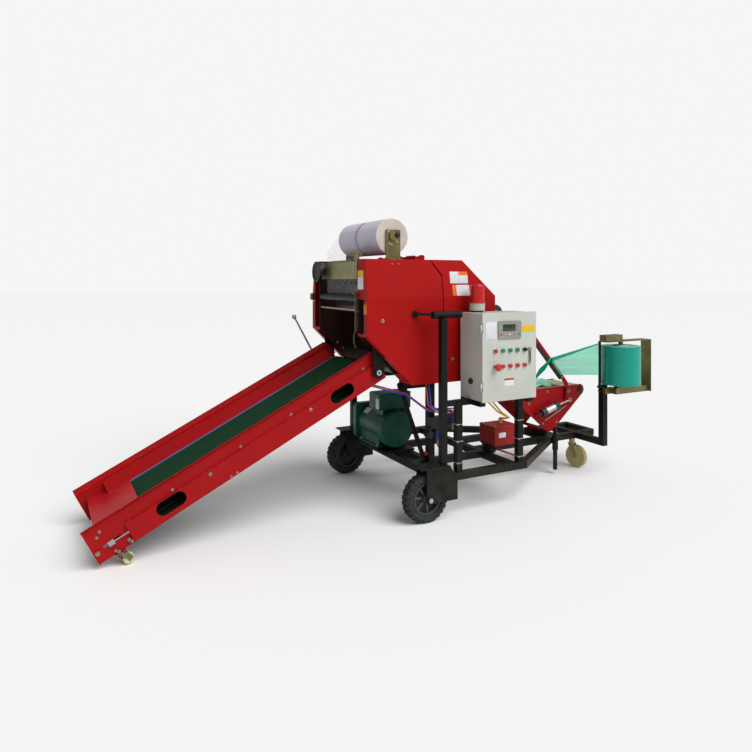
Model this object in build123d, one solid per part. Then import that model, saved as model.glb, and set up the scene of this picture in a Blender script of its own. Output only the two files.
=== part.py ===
from build123d import *
from math import acos, asin, atan2, cos, degrees, hypot, pi, radians, sin
import os

# Mini round baler with feed conveyor, net binding and film wrapper, in millimetres.
# X runs from the conveyor to the film stand, Y away from the control cabinet, Z up.
# The model is drawn with its origin on the floor between the two front wheels, and is
# moved at the end so that the origin lies under the middle of the whole machine.

# Running and seating clearances, and a length beyond the whole machine for cutting boxes
running_fit = 0.05
seat_gap = 0.3
moving_gap = 6
beyond = 3000

# Front wheels
wheel_radius = 130
wheel_width = 68
wheel_track = 985
wheel_x = 6
axle_radius = 10
hub_rim_radius = 84
lug_count = 26
lug_height = 4
fork_inside = 97
fork_plate = 6
fork_front_x = -14
fork_rear_x = 180
fork_bottom_z = 110

# Base frame of square tube, whose rear part is set by the table's spindle
tube = 40
table_x = 1220
near_leg = (200, -240)
far_leg = (300, 240)
valve_x = 312
brace_top_x = 1
brace_foot_x = 178
frame_bottom_z = 200
frame_half_width = 500
cross_beam_x = 100
rail_bend_x = 680
inner_rail_y = 200
inner_cross_x = 600
tongue_half_width = 120
tongue_start_x = 640
outrigger_x = table_x + 250
outrigger_end_y = -384
rear_beam_x = table_x + 402
rear_beam_end_y = -124

# Masts and cabinet stand
post = 36
mast_x = 123
far_mast_x = 60
mast_top_z = 1080
mast_y = 490
grip_radius = 20
grip_front_x = 66
far_grip_front_x = 36
grip_rear_x = 250
strut_boss_x = 11
strut_boss_z = 1107
stand_front_x = 222
stand_rear_x = 651
shelf_height = 30

# Pressing chamber
chamber_x = 140
chamber_z = 1050
roller_ring = 300
roller_radius = 30
roller_pitch_deg = 22
chamber_half_width = 262
wall = 6
sheet = 3
cover_half_width = 380
cover_lean = 30
crease_z = 1195
cover_top_z = 1404
near_window_top_z = 1185
cover_bottom_z = 712
cover_front_x = -281
cover_front_low_z = 988
cover_bottom_front_x = -4
cover_top_rear_x = 348
cover_rear_x = 566
cover_rear_top_z = 1197
cover_rear_low_z = 930
cover_bottom_rear_x = 380
seam_x = 200
seam_top_x = 132
seam_bend_z = 1320
hinge_radius = 8
hinge_boss = 14

# Net roll and feed
net_roll_x = -58
net_roll_z = 1535
net_roll_radius = 102
net_roll_length = 500
net_mandrel_radius = 12
net_web = 1.5
channel_front_x = -285
channel_depth = 40
channel_low_z = 1295
channel_high_z = 1393
feed_roller_x = -261
feed_roller_z = 1188
feed_roller_radius = 20
guide_rod_z = 1123
unwind_roller_z = 1340
unwind_roller_radius = 17
hand_wheel_radius = 62
hand_wheel_depth = 46
hand_wheel_y = 205
hand_wheel_z = 1338

# Conveyor, drawn level with its head shaft at the origin and then tilted
pivot_x = -187
pivot_z = 788
conveyor_length = 1585
head_overhang = 36
conveyor_half_width = 310
side_height = 96
board_inset = 14
board_height = 155
board_head = 22
lip_height = 175
lip_flare = 23
lip_head = 8
flange = 48
channel_end = conveyor_length - 168
tail_plate_overlap = 60
shaft_height = 54
tail_drum = conveyor_length - 85
drum_radius = 28
belt_thickness = 4
belt_half_width = 215
skirt_top = 140
skirt_foot = 90
conveyor_shaft_radius = 15
tail_shaft = 7
tension_rod = 4
hanger_y = conveyor_half_width + 16
hanger_plate = 6
hanger_top = 190
side_slot_length = 145
side_slot_height = 68
side_slot_rise = 5
side_slots = (228, 1208)

# Casters: tread radius, tread width, trail, fork plate, stem radius
rear_caster = dict(radius=75, width=38, trail=34, plate=4, stem=11)
rear_caster_x = table_x + 238
rear_caster_y = -100
rear_caster_turn_deg = -78
tail_caster = dict(radius=27, width=22, trail=16, plate=2.5, stem=6)
tail_caster_along = conveyor_length - 99
tail_caster_y = 294
tail_caster_turns_deg = dict(near=40, far=10)
caster_plate = 4

# The conveyor's tilt follows from its length and the height at which its tail rests on the casters
tail_mount_height = 65.4
tail_mount_local_z = -shaft_height - 6 - caster_plate
tail_mount_reach = hypot(tail_caster_along, tail_mount_local_z)
tail_fall_deg = degrees(asin((pivot_z - tail_mount_height) / tail_mount_reach))
conveyor_tilt_deg = tail_fall_deg - degrees(atan2(-tail_mount_local_z, tail_caster_along))

# Motor
motor_x = 125
motor_shaft_height = 121
motor_radius = 98
fan_cover_radius = 113
motor_near_y = 10
motor_far_y = 400
motor_plate = 12

# Drive box on its arm and shelf
drive_box_x = 605
drive_box_length = 175
drive_box_z = 290
drive_box_height = 110

# Control cabinet
cabinet_front_x = 296
cabinet_width = 370
cabinet_front_y = -600
cabinet_depth = 190
cabinet_bottom_z = 632
cabinet_height = 476
cabinet_sheet = 2
door_thickness = 14
door_margin = 4

# Wrapping table
table_half_width = 130
table_plate = 6
table_bottom_z = 272
table_roller_reach = 274
table_roller_z = 531
table_roller_radius = 30
table_end_radius = 38
table_tip_half = 22
table_top_z = 566
pedestal_radius = 75
spindle_radius = 20
table_belt = 3
table_belt_width = 66
table_belt_count = 3
cutter_pivot_x = table_x + 146
cutter_pivot_z = 536
cutter_elbow_x = table_x + 132
cutter_elbow_z = 590
cutter_knee_x = table_x + 97
cutter_knee_z = 633
cutter_tip_x = table_x - 145
cutter_tip_z = 905
cutter_eye_x = table_x + 136
cutter_eye_z = 480
cutter_width = 26
cutter_thickness = 10
barrel_hinge_x = table_x - 132
barrel_hinge_z = 408
barrel_radius = 23
barrel_cap_radius = 26
barrel_start = 20
barrel_length = 150
barrel_caps = 36
rod_radius = 6
barrel_bore_start = 36
rod_start = 95
cutter_swing_deg = 28

# Film stand
film_post_y = -364
film_post_top_z = 598
film_roll_x = table_x + 340
film_roll_y = -430
film_roll_radius = 125
film_roll_height = 250
film_roll_bottom_z = 608
film_core_radius = 38
film_spindle_radius = 14
carriage_rear_x = table_x + 580
carriage_width = 80
carriage_plate = 5
guide_x = table_x + 198
guide_y = -385
guide_radius = 9
film = 2
film_top_z = 878
film_low_z = 670
film_fold_x = table_x - 20
film_fold_z = 767
film_foot_x = table_x + 78
film_foot_z = 647

# Jack leg
jack_x = table_x + 2
jack_y = -185
jack_radius = 14
jack_foot_z = 30
jack_top_z = 305

parts = {}
hose_sizes = []


def box(x0, x1, y0, y1, z0, z1):
    return Pos((x0 + x1) / 2, (y0 + y1) / 2, (z0 + z1) / 2) * Box(x1 - x0, y1 - y0, z1 - z0)


def rod_x(y, z, radius, x0, x1):
    return Pos((x0 + x1) / 2, y, z) * Rot(0, 90, 0) * Cylinder(radius, x1 - x0)


def rod_y(x, z, radius, y0, y1):
    return Pos(x, (y0 + y1) / 2, z) * Rot(90, 0, 0) * Cylinder(radius, y1 - y0)


def rod_z(x, y, radius, z0, z1):
    return Pos(x, y, (z0 + z1) / 2) * Cylinder(radius, z1 - z0)


def slab_y(points, y0, y1):
    """Prism of an outline in X and Z, from y0 to y1."""
    plane = Plane(origin=(0, y1, 0), x_dir=(1, 0, 0), z_dir=(0, -1, 0))
    return extrude(plane * Polygon(*points, align=None), y1 - y0, dir=(0, -1, 0))


def slab_z(points, z0, z1):
    """Prism of an outline in X and Y, from z0 to z1."""
    return extrude(Pos(0, 0, z0) * Polygon(*points, align=None), z1 - z0, dir=(0, 0, 1))


def slab_x(points, x0, x1):
    """Prism of an outline in Y and Z, from x0 to x1."""
    plane = Plane(origin=(x0, 0, 0), x_dir=(0, 1, 0), z_dir=(1, 0, 0))
    return extrude(plane * Polygon(*points, align=None), x1 - x0, dir=(1, 0, 0))


def turned_y(points):
    """Ring about Y from a closed outline of radius and Y."""
    return revolve(Polygon(*points, align=None), Axis.Y)


def turned_z(points):
    """Ring about Z from a closed outline of radius and Z."""
    return revolve(Plane.XZ * Polygon(*points, align=None), Axis.Z)


def beam(start, end, y0_width, z0, z1):
    """Level bar of the given width between two points in X and Y."""
    length = hypot(end[0] - start[0], end[1] - start[1])
    turn = degrees(atan2(end[1] - start[1], end[0] - start[0]))
    middle = Pos((start[0] + end[0]) / 2, (start[1] + end[1]) / 2, (z0 + z1) / 2)
    return middle * Rot(0, 0, turn) * Box(length, y0_width, z1 - z0)


def bar_y(start, end, width, y0, y1):
    """Round-ended flat bar between two points in X and Z."""
    length = hypot(end[0] - start[0], end[1] - start[1])
    turn = degrees(atan2(end[1] - start[1], end[0] - start[0]))
    middle = Pos((start[0] + end[0]) / 2, (y0 + y1) / 2, (start[1] + end[1]) / 2)
    profile = SlotCenterToCenter(length, width) if length > 0 else Circle(width / 2)
    return middle * Rot(0, -turn, 0) * Rot(90, 0, 0) * extrude(profile, (y1 - y0) / 2, both=True)


def group(*solids):
    """Separate solids that share a node."""
    flat = []
    for solid in solids:
        flat.extend(solid.solids())
    return Compound(flat)


def hose(points, radius, bend):
    """Round hose of straight runs joined by arcs of one bend radius."""
    path = FilletPolyline(*points, radius=bend)
    tube = sweep(Plane(origin=path @ 0, z_dir=path % 0) * Circle(radius), path=path)
    hose_sizes.append((bend, tube.volume / (pi * radius ** 2 * path.length)))
    return tube


def mirrored(solid):
    return mirror(solid, about=Plane.XZ)


def ring_point(angle_deg, radius=roller_ring):
    angle = radians(angle_deg)
    return chamber_x + radius * cos(angle), chamber_z + radius * sin(angle)


# Wheels: a tyre with shoulder lugs, a spoked hub with a bore for the fixed axle
def make_tyre():
    half = wheel_width / 2
    crown = wheel_radius - lug_height
    outline = [(hub_rim_radius, -half + 12), (hub_rim_radius, half - 12), (hub_rim_radius + 12, half),
               (crown - 16, half), (crown, half - 12), (crown, -half + 12), (crown - 16, -half),
               (hub_rim_radius + 12, -half)]
    tyre = turned_y(outline)
    lug_length = half - 4
    pitch = 360 / lug_count
    lugs = []
    for index in range(lug_count):
        for side, phase in ((-1, 0), (1, 0.5)):
            lug = Box(2 * lug_height + 8, lug_length, 20)
            lug = Pos(crown - 4, side * (half - lug_length / 2 - 2), 0) * lug
            lugs.append(Rot(0, (index + phase) * pitch, 0) * lug)
    bound = turned_y([(crown - 30, -half), (crown - 30, half), (crown - 12, half),
                      (wheel_radius, half - 10), (wheel_radius, -half + 10), (crown - 12, -half)])
    return tyre + (Compound(children=lugs) & bound)


def make_hub():
    half = wheel_width / 2
    rim = turned_y([(hub_rim_radius - 9, -half + 8), (hub_rim_radius - 9, half - 8),
                    (hub_rim_radius, half - 8), (hub_rim_radius, -half + 8)])
    core = turned_y([(axle_radius + running_fit, -half - 6), (axle_radius + running_fit, half + 6),
                     (24, half + 6), (28, half - 6), (28, -half + 6), (24, -half - 6)])
    web = turned_y([(26, -5), (26, 5), (hub_rim_radius - 6, 5), (hub_rim_radius - 6, -5)])
    windows = []
    spoke_count = 5
    for index in range(spoke_count):
        window = Pos(54, 0, 0) * Rot(90, 0, 0) * Cylinder(15, 30)
        windows.append(Rot(0, index * 360 / spoke_count, 0) * window)
    spokes = web - Compound(children=windows)
    return rim + core + spokes


tyre = make_tyre()
hub = make_hub()
for name, side in (("near", -1), ("far", 1)):
    place = Pos(wheel_x, side * wheel_track / 2, wheel_radius)
    parts["tyre_" + name] = place * tyre
    parts["hub_" + name] = place * hub


# Wheel forks: inverted U brackets with the fixed axles
fork_top_z = wheel_radius * 2 + 30
fork_outline = [(fork_front_x, fork_top_z), (fork_rear_x - 45, fork_top_z), (fork_rear_x, fork_top_z - 62),
                (fork_rear_x, fork_bottom_z), (fork_front_x + 110, fork_bottom_z),
                (fork_front_x, fork_bottom_z + 2)]
fork_half = fork_inside / 2


def make_fork():
    inner = slab_y(fork_outline, fork_half, fork_half + fork_plate)
    outer = slab_y(fork_outline, -fork_half - fork_plate, -fork_half)
    roof = box(fork_front_x - 33, fork_rear_x - 45, -fork_half - fork_plate, fork_half + fork_plate,
               fork_top_z, fork_top_z + fork_plate)
    axle = rod_y(wheel_x, wheel_radius, axle_radius, -fork_half, fork_half)
    nuts = [rod_y(wheel_x, wheel_radius, axle_radius + 4, side * (fork_half + fork_plate + 5) - 5,
                  side * (fork_half + fork_plate + 5) + 5) for side in (-1, 1)]
    return inner + outer + roof + axle + nuts[0] + nuts[1]


fork = make_fork()
parts["wheel_forks"] = group(*[Pos(0, side * wheel_track / 2, 0) * fork for side in (-1, 1)])


# Base frame: side rails that draw in to a tongue, cross beams and the two rear beams
frame_top_z = frame_bottom_z + tube
tongue_meet_x = table_x + 20


def make_frame():
    fork_inner_y = wheel_track / 2 - fork_half - fork_plate
    half = tube / 2
    bars = [box(cross_beam_x - half, cross_beam_x + half, -fork_inner_y, fork_inner_y,
                frame_bottom_z, frame_top_z),
            box(inner_cross_x - half, inner_cross_x + half, -frame_half_width, frame_half_width,
                frame_bottom_z, frame_top_z),
            box(outrigger_x - half, outrigger_x + half, outrigger_end_y, tongue_half_width + half,
                frame_bottom_z, frame_top_z),
            box(rear_beam_x - half, rear_beam_x + half, rear_beam_end_y, tongue_half_width + half,
                frame_bottom_z, frame_top_z)]
    for side in (-1, 1):
        rail_y = side * frame_half_width
        tongue_y = side * tongue_half_width
        bars.append(box(fork_rear_x, rail_bend_x, rail_y - half, rail_y + half, frame_bottom_z, frame_top_z))
        bars.append(beam((rail_bend_x, rail_y), (tongue_meet_x, tongue_y), tube, frame_bottom_z, frame_top_z))
        bars.append(rod_z(rail_bend_x, rail_y, half, frame_bottom_z, frame_top_z))
        bars.append(box(cross_beam_x, inner_cross_x, side * inner_rail_y - half, side * inner_rail_y + half,
                        frame_bottom_z, frame_top_z))
        bars.append(box(inner_cross_x, rear_beam_x, tongue_y - half, tongue_y + half,
                        frame_bottom_z, frame_top_z))
    for leg_x, leg_y in (near_leg, far_leg):
        bars.append(box(leg_x - half, leg_x + half, leg_y - half, leg_y + half,
                        frame_bottom_z, cover_bottom_z - tube))
        bars.append(box(cover_bottom_front_x + 12, leg_x + half, leg_y - half, leg_y + half,
                        cover_bottom_z - tube, cover_bottom_z))
    plate = box(motor_x - 110, motor_x + 110, -10, motor_far_y - 15, frame_top_z, frame_top_z + motor_plate)
    carrier = box(motor_x + 60, motor_x + 60 + tube, -inner_rail_y, motor_far_y + 20,
                  frame_bottom_z, frame_top_z)
    brace = bar_y((brace_top_x, cover_bottom_z - half), (brace_foot_x, frame_top_z - half), 26, -230, -222)
    drive_arm = box(inner_cross_x, inner_cross_x + tube, -290, -220, frame_top_z, drive_box_z)
    drive_shelf = box(inner_cross_x, drive_box_x + drive_box_length, -320, -190,
                      drive_box_z - fork_plate, drive_box_z)
    sleeve = rod_z(jack_x, jack_y, jack_radius + 5, frame_bottom_z - 40, frame_top_z + 14)
    sleeve_bore = rod_z(jack_x, jack_y, jack_radius + running_fit, frame_bottom_z - 41, frame_top_z + 15)
    sleeve_arm = box(jack_x - 12, jack_x + 12, jack_y, -tongue_half_width, frame_bottom_z, frame_top_z)
    solid = bars[0]
    for bar in bars[1:] + [plate, carrier, brace, drive_arm, drive_shelf, sleeve, sleeve_arm]:
        solid = solid + bar
    return solid - sleeve_bore


parts["base_frame"] = make_frame()


# Masts: a post on each fork with a grip tube on top and a strut to the side cover
def make_mast(column_x, front_x):
    near_y = -mast_y
    base_z = fork_top_z + fork_plate
    column = box(column_x - post / 2, column_x + post / 2, near_y - post / 2, near_y + post / 2,
                 base_z, mast_top_z)
    grip = rod_x(near_y + 16, mast_top_z + grip_radius, grip_radius, front_x, grip_rear_x)
    strut_end_y = -cover_half_width
    length = hypot(front_x - strut_boss_x, near_y + 16 - strut_end_y)
    turn = degrees(atan2(strut_end_y - near_y - 16, strut_boss_x - front_x))
    strut = (Pos((strut_boss_x + front_x) / 2, (strut_end_y + near_y + 16) / 2, strut_boss_z - 4)
             * Rot(0, 0, turn) * Box(length, 24, 12))
    strut = strut & box(-beyond, front_x + 12, near_y - 20, strut_end_y - 1, 0, beyond)
    boss = rod_y(strut_boss_x, strut_boss_z - 4, 18, strut_end_y - 12, strut_end_y)
    return column + grip + strut + boss


parts["masts"] = group(make_mast(mast_x, grip_front_x), mirrored(make_mast(far_mast_x, far_grip_front_x)))


# Cabinet stand: two posts on the near rail and the shelf that carries the cabinet
def make_stand():
    near_y = -mast_y
    low, high = near_y - post / 2, near_y + post / 2
    shelf_top = cabinet_bottom_z
    front = box(stand_front_x - post / 2, stand_front_x + post / 2, low, high,
                frame_top_z, shelf_top - shelf_height)
    rear = box(stand_rear_x - post / 2, stand_rear_x + post / 2, low, high,
               frame_top_z, shelf_top - shelf_height)
    shelf_rear_x = cabinet_front_x + cabinet_width
    bars = [box(stand_front_x - post / 2, shelf_rear_x, low, high, shelf_top - shelf_height, shelf_top)]
    for bar_x in (cabinet_front_x, shelf_rear_x - post):
        bars.append(box(bar_x, bar_x + post, cabinet_front_y + 8, cabinet_front_y + cabinet_depth,
                        shelf_top - shelf_height, shelf_top))
    link = box(mast_x + post / 2, stand_front_x - post / 2, low + 6, high - 6,
               shelf_top - shelf_height, shelf_top)
    return front + rear + bars[0] + bars[1] + bars[2] + link


parts["cabinet_stand"] = make_stand()


# Chamber: side outlines of the fixed front half and of the rear gate
front_outline = [(cover_front_x, cover_top_z), (seam_top_x - moving_gap - 2, cover_top_z),
                 (seam_x - moving_gap / 2, seam_bend_z - 8), (seam_x - moving_gap / 2, cover_bottom_z),
                 (cover_bottom_front_x, cover_bottom_z), (cover_front_x, cover_front_low_z)]
gate_outline = [(seam_top_x, cover_top_z), (cover_top_rear_x, cover_top_z), (cover_rear_x, cover_rear_top_z),
                (cover_rear_x, cover_rear_low_z), (cover_bottom_rear_x, cover_bottom_z),
                (seam_x + moving_gap / 2, cover_bottom_z), (seam_x + moving_gap / 2, seam_bend_z)]
outer_wall_y = chamber_half_width + wall


def make_walls(outline):
    near = slab_y(outline, -outer_wall_y, -chamber_half_width)
    return group(near, mirrored(near))


def make_cover(outline):
    """Tray with a leaning upper face, open toward the chamber wall."""
    def across(inset):
        face_y = -cover_half_width + inset
        return [(-outer_wall_y, 0), (face_y, 0), (face_y, crease_z),
                (face_y + cover_lean, cover_top_z), (face_y + cover_lean, beyond), (-outer_wall_y, beyond)]
    outer = slab_y(outline, -cover_half_width, -outer_wall_y) & slab_x(across(0), -beyond, beyond)
    inner_face = offset(Polygon(*outline, align=None), amount=-sheet, kind=Kind.INTERSECTION)
    plane = Plane(origin=(0, -outer_wall_y, 0), x_dir=(1, 0, 0), z_dir=(0, -1, 0))
    inner = extrude(plane * inner_face, cover_half_width - outer_wall_y, dir=(0, -1, 0))
    return outer - (inner & slab_x(across(sheet), -beyond, beyond))


parts["chamber_walls"] = make_walls(front_outline)
parts["gate_walls"] = make_walls(gate_outline)

front_angles = [99 + roller_pitch_deg * index for index in range(4)]
front_angles += [225 + roller_pitch_deg * index for index in range(3)]
gate_angles = [291 + roller_pitch_deg * index for index in range(7)]


def make_rollers(angles):
    rollers = []
    for angle in angles:
        x, z = ring_point(angle)
        rollers.append(rod_y(x, z, roller_radius, -chamber_half_width, chamber_half_width))
    return group(*rollers)


parts["chamber_rollers"] = make_rollers(front_angles)
parts["gate_rollers"] = make_rollers(gate_angles)



def make_front_cover(window_top_z):
    """Near cover whose front and slanting underside are open but for a flange along the outer face."""
    low_y, high_y = -cover_half_width + 42, -outer_wall_y
    front_window = box(cover_front_x - 5, cover_front_x + 5, low_y, high_y,
                       cover_front_low_z + 12, window_top_z)
    under_points = [(cover_front_x + 4, cover_front_low_z - 10), (cover_front_x + 12, cover_front_low_z + 4),
                    (cover_bottom_front_x - 50, cover_bottom_z + 66),
                    (cover_bottom_front_x - 62, cover_bottom_z + 50)]
    return make_cover(front_outline) - front_window - slab_y(under_points, low_y, high_y)


near_front_cover = make_front_cover(near_window_top_z)
far_front_cover = mirrored(make_front_cover(cover_top_z - 19))
parts["front_covers"] = group(near_front_cover, far_front_cover)
gate_cover = make_cover(gate_outline)
parts["gate_covers"] = group(gate_cover, mirrored(gate_cover))


# Top cover with the fixed hinge lugs and rod, gate panel with its hinge sleeves
hinge_x = seam_top_x + 4
hinge_z = cover_top_z + hinge_boss + 2
lug_half = 14


def make_top_cover():
    plate = box(-150, seam_top_x - moving_gap - 2, -chamber_half_width, chamber_half_width,
                cover_top_z - sheet, cover_top_z)
    rod = rod_y(hinge_x, hinge_z, hinge_radius, -chamber_half_width, chamber_half_width)
    solid = plate + rod
    for lug_y in (-chamber_half_width + lug_half, 0, chamber_half_width - lug_half):
        arm = box(hinge_x - 52, hinge_x, lug_y - lug_half, lug_y + lug_half, cover_top_z, hinge_z + 4)
        boss = rod_y(hinge_x, hinge_z, hinge_boss, lug_y - lug_half, lug_y + lug_half)
        arm = arm & box(-beyond, seam_top_x - moving_gap - 2, -beyond, beyond, 0, beyond)
        solid = solid + arm + boss
    return solid


def make_gate_panel():
    edge = [(seam_top_x + 8, cover_top_z), (cover_top_rear_x, cover_top_z), (cover_rear_x, cover_rear_top_z),
            (cover_rear_x, cover_rear_low_z), (cover_bottom_rear_x, cover_bottom_z)]
    inner = [(cover_bottom_rear_x - 1, cover_bottom_z + sheet + 1),
             (cover_rear_x - sheet, cover_rear_low_z + 1), (cover_rear_x - sheet, cover_rear_top_z - 1),
             (cover_top_rear_x - 1, cover_top_z - sheet), (seam_top_x + 8, cover_top_z - sheet)]
    solid = slab_y(edge + inner, -chamber_half_width, chamber_half_width)
    for sleeve_y in (-130, 130):
        sleeve = rod_y(hinge_x, hinge_z, hinge_boss, sleeve_y - 40, sleeve_y + 40)
        arm = box(hinge_x, hinge_x + 70, sleeve_y - 40, sleeve_y + 40, cover_top_z, hinge_z - 6)
        solid = solid + sleeve + arm
        solid = solid - rod_y(hinge_x, hinge_z, hinge_radius + running_fit, sleeve_y - 41, sleeve_y + 41)
    return solid


parts["top_cover"] = make_top_cover()
parts["gate_panel"] = make_gate_panel()


# Net binding: zinc channel, feed rollers, brackets with the mandrel, roll and web
def make_channel():
    half = chamber_half_width
    rear_x = channel_front_x + channel_depth
    solid = box(channel_front_x, channel_front_x + sheet, -half, half, channel_low_z, channel_high_z)
    solid += box(channel_front_x, rear_x, -half, half, channel_high_z - sheet, channel_high_z)
    solid += box(channel_front_x, rear_x, -half, half, channel_low_z, channel_low_z + sheet)
    return solid


def make_feed_rollers():
    half = chamber_half_width
    roller = rod_y(feed_roller_x, feed_roller_z, feed_roller_radius, -half, half)
    rail = rod_y(feed_roller_x - 10, guide_rod_z, 5, -half, half)
    unwinder = rod_y(channel_front_x + channel_depth / 2, unwind_roller_z, unwind_roller_radius, -half, half)
    return group(roller, rail, unwinder)


def make_hand_wheel():
    """Dished wheel that faces the conveyor, on a boss on the channel's face."""
    rim = hand_wheel_radius
    face = hand_wheel_depth
    profile = [(0, 0), (20, 0), (20, face - 16), (rim - 12, face - 12), (rim - 10, face - 20),
               (rim, face - 20), (rim, face), (rim - 10, face), (rim - 12, face - 4), (0, face - 6)]
    return Pos(channel_front_x, hand_wheel_y, hand_wheel_z) * Rot(0, -90, 0) * turned_z(profile)


def make_net_brackets():
    mandrel = rod_y(net_roll_x, net_roll_z, net_mandrel_radius, -chamber_half_width, chamber_half_width)
    plate_points = [(net_roll_x - 46, cover_top_z), (net_roll_x + 46, cover_top_z),
                    (net_roll_x + 46, net_roll_z + 37), (net_roll_x - 46, net_roll_z + 37)]
    near = slab_y(plate_points, -chamber_half_width, -chamber_half_width + 5)
    near += rod_y(net_roll_x, net_roll_z, 26, -chamber_half_width - 12, -chamber_half_width)
    near += box(net_roll_x - 46, net_roll_x + 46, -chamber_half_width - 30, -chamber_half_width,
                cover_top_z, cover_top_z + 5)
    return mandrel + near + mirrored(near)


def make_net_roll():
    half = net_roll_length / 2
    bore = net_mandrel_radius + running_fit
    profile = [(bore, -half - 3), (bore, half + 3), (38, half + 3), (38, half), (net_roll_radius, half),
               (net_roll_radius, -half), (38, -half), (38, -half - 3)]
    return Pos(net_roll_x, 0, net_roll_z) * turned_y(profile)


def make_net_web():
    """Web that leaves the roll at a tangent and runs down behind the channel to the feed roller."""
    low_x = feed_roller_x + feed_roller_radius + seat_gap / 2
    bend_z = channel_high_z + 6
    reach = hypot(low_x - net_roll_x, bend_z - net_roll_z)
    away = atan2(bend_z - net_roll_z, low_x - net_roll_x) - acos((net_roll_radius + net_web) / reach)
    touch = net_roll_radius + seat_gap / 2
    outside = touch + net_web
    end_z = feed_roller_z
    half = net_roll_length / 2 - 10
    points = [(net_roll_x + outside * cos(away), net_roll_z + outside * sin(away)), (low_x, bend_z),
              (low_x, end_z), (low_x + net_web, end_z), (low_x + net_web, bend_z),
              (net_roll_x + touch * cos(away), net_roll_z + touch * sin(away))]
    return slab_y(points, -half, half)


parts["mouth_channel"] = make_channel()
parts["net_feed_rollers"] = make_feed_rollers()
parts["hand_wheel"] = make_hand_wheel()
parts["net_brackets"] = make_net_brackets()
parts["net_roll"] = make_net_roll()
parts["net_web"] = make_net_web()


# Conveyor, level in its own frame, then tilted about its head shaft
to_machine = Pos(pivot_x, 0, pivot_z) * Rot(0, -conveyor_tilt_deg, 0)


def local(solid):
    return to_machine * solid


def make_side():
    low = -shaft_height
    top = side_height - shaft_height
    outer = -conveyor_half_width
    board = outer + board_inset
    root = board_height - shaft_height
    tip = lip_height - shaft_height
    channel_profile = [(outer, low), (outer + flange, low), (outer + flange, low + sheet),
                       (outer + sheet, low + sheet), (outer + sheet, top - sheet),
                       (outer + flange, top - sheet), (outer + flange, top), (outer, top)]
    side = slab_x(channel_profile, -channel_end, head_overhang)
    end_wall = box(-channel_end, -channel_end + sheet, outer, outer + flange, low, top)
    rod_y_place = outer + board_inset / 2 + 1
    end_wall -= rod_x(rod_y_place, 0, tension_rod + seat_gap, -channel_end - 1, -channel_end + 4)
    head_cut = [(-conveyor_length, low - 6), (-conveyor_length, tip), (lip_head, tip), (board_head, root),
                (head_overhang, top), (head_overhang, low - 6)]
    board_profile = [(board, top - sheet), (board + sheet, top - sheet), (board + sheet, root + 1),
                     (board + sheet + 1 - lip_flare, tip), (board - lip_flare, tip), (board, root)]
    boards = slab_x(board_profile, -conveyor_length, head_overhang) & slab_y(head_cut, -beyond, beyond)
    tail = box(-conveyor_length, -channel_end + tail_plate_overlap, board, board + sheet, low - 6, top)
    foot = skirt_foot - shaft_height
    skirt_profile = [(board + sheet, skirt_top - shaft_height), (-belt_half_width - sheet, foot),
                     (-belt_half_width - sheet, foot - sheet),
                     (board + sheet, skirt_top - shaft_height - sheet)]
    skirt = slab_x(skirt_profile, -channel_end - 25, -10)
    side = side + end_wall + boards + tail + skirt
    for along in side_slots:
        slot = Rot(90, 0, 0) * extrude(SlotOverall(side_slot_length, side_slot_height), 12, both=True)
        side = side - Pos(-along, outer, side_slot_rise) * slot
    tension_slot = Rot(90, 0, 0) * extrude(SlotOverall(82, 2 * tail_shaft + 2), 30, both=True)
    side = side - Pos(-tail_drum + 5, outer, 0) * tension_slot
    shaft_hole = rod_y(0, 0, conveyor_shaft_radius + 1, outer - 10, outer + flange + 10)
    return side - shaft_hole


def make_bed():
    half = conveyor_half_width - sheet
    solid = box(-tail_drum + 50, -50, -belt_half_width - 10, belt_half_width + 10,
                drum_radius - 3, drum_radius)
    for along in (420, 760, 1040):
        solid = solid + box(-along - 15, -along + 15, -half, half, drum_radius - 33, drum_radius - 3)
    return solid


def make_belt():
    outer_radius = drum_radius + seat_gap + belt_thickness
    inner_radius = drum_radius + seat_gap
    outer = SlotCenterToCenter(tail_drum, 2 * outer_radius)
    inner = SlotCenterToCenter(tail_drum, 2 * inner_radius)
    loop = Rot(90, 0, 0) * extrude(outer - inner, belt_half_width, both=True)
    return Pos(-tail_drum / 2, 0, 0) * loop


def make_drums():
    """Head drum with its tubular shaft and tail drum with its plain one."""
    head_end = hanger_y + hanger_plate + 6
    head = rod_y(0, 0, drum_radius, -belt_half_width - 2, belt_half_width + 2)
    head += rod_y(0, 0, conveyor_shaft_radius, -head_end, head_end)
    for end in (-1, 1):
        head -= rod_y(0, 0, 7, end * (head_end - 9) - 10, end * (head_end - 9) + 10)
    tail = rod_y(-tail_drum, 0, drum_radius, -belt_half_width - 2, belt_half_width + 2)
    tail += rod_y(-tail_drum, 0, tail_shaft, -conveyor_half_width + 2, conveyor_half_width - 2)
    return group(head, tail)


def make_infeed():
    """Bright plate that leads the crop from the tail over the drum onto the belt."""
    crease, low_s, high_s = -conveyor_length + 107, -conveyor_length + 40, -conveyor_length + 262
    crease_z = skirt_foot - shaft_height
    low_z, high_z = crease_z + 18, crease_z + 7
    half = conveyor_half_width - board_inset - sheet
    middle = -channel_end - 27
    wide = slab_y([(low_s, low_z - sheet), (low_s, low_z), (crease, crease_z), (middle, crease_z + 1),
                   (middle, crease_z + 1 - sheet), (crease, crease_z - sheet)], -half, half)
    narrow = slab_y([(crease, crease_z - sheet), (crease, crease_z), (high_s, high_z),
                     (high_s, high_z - sheet)], -belt_half_width, belt_half_width)
    return wide + narrow


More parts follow.
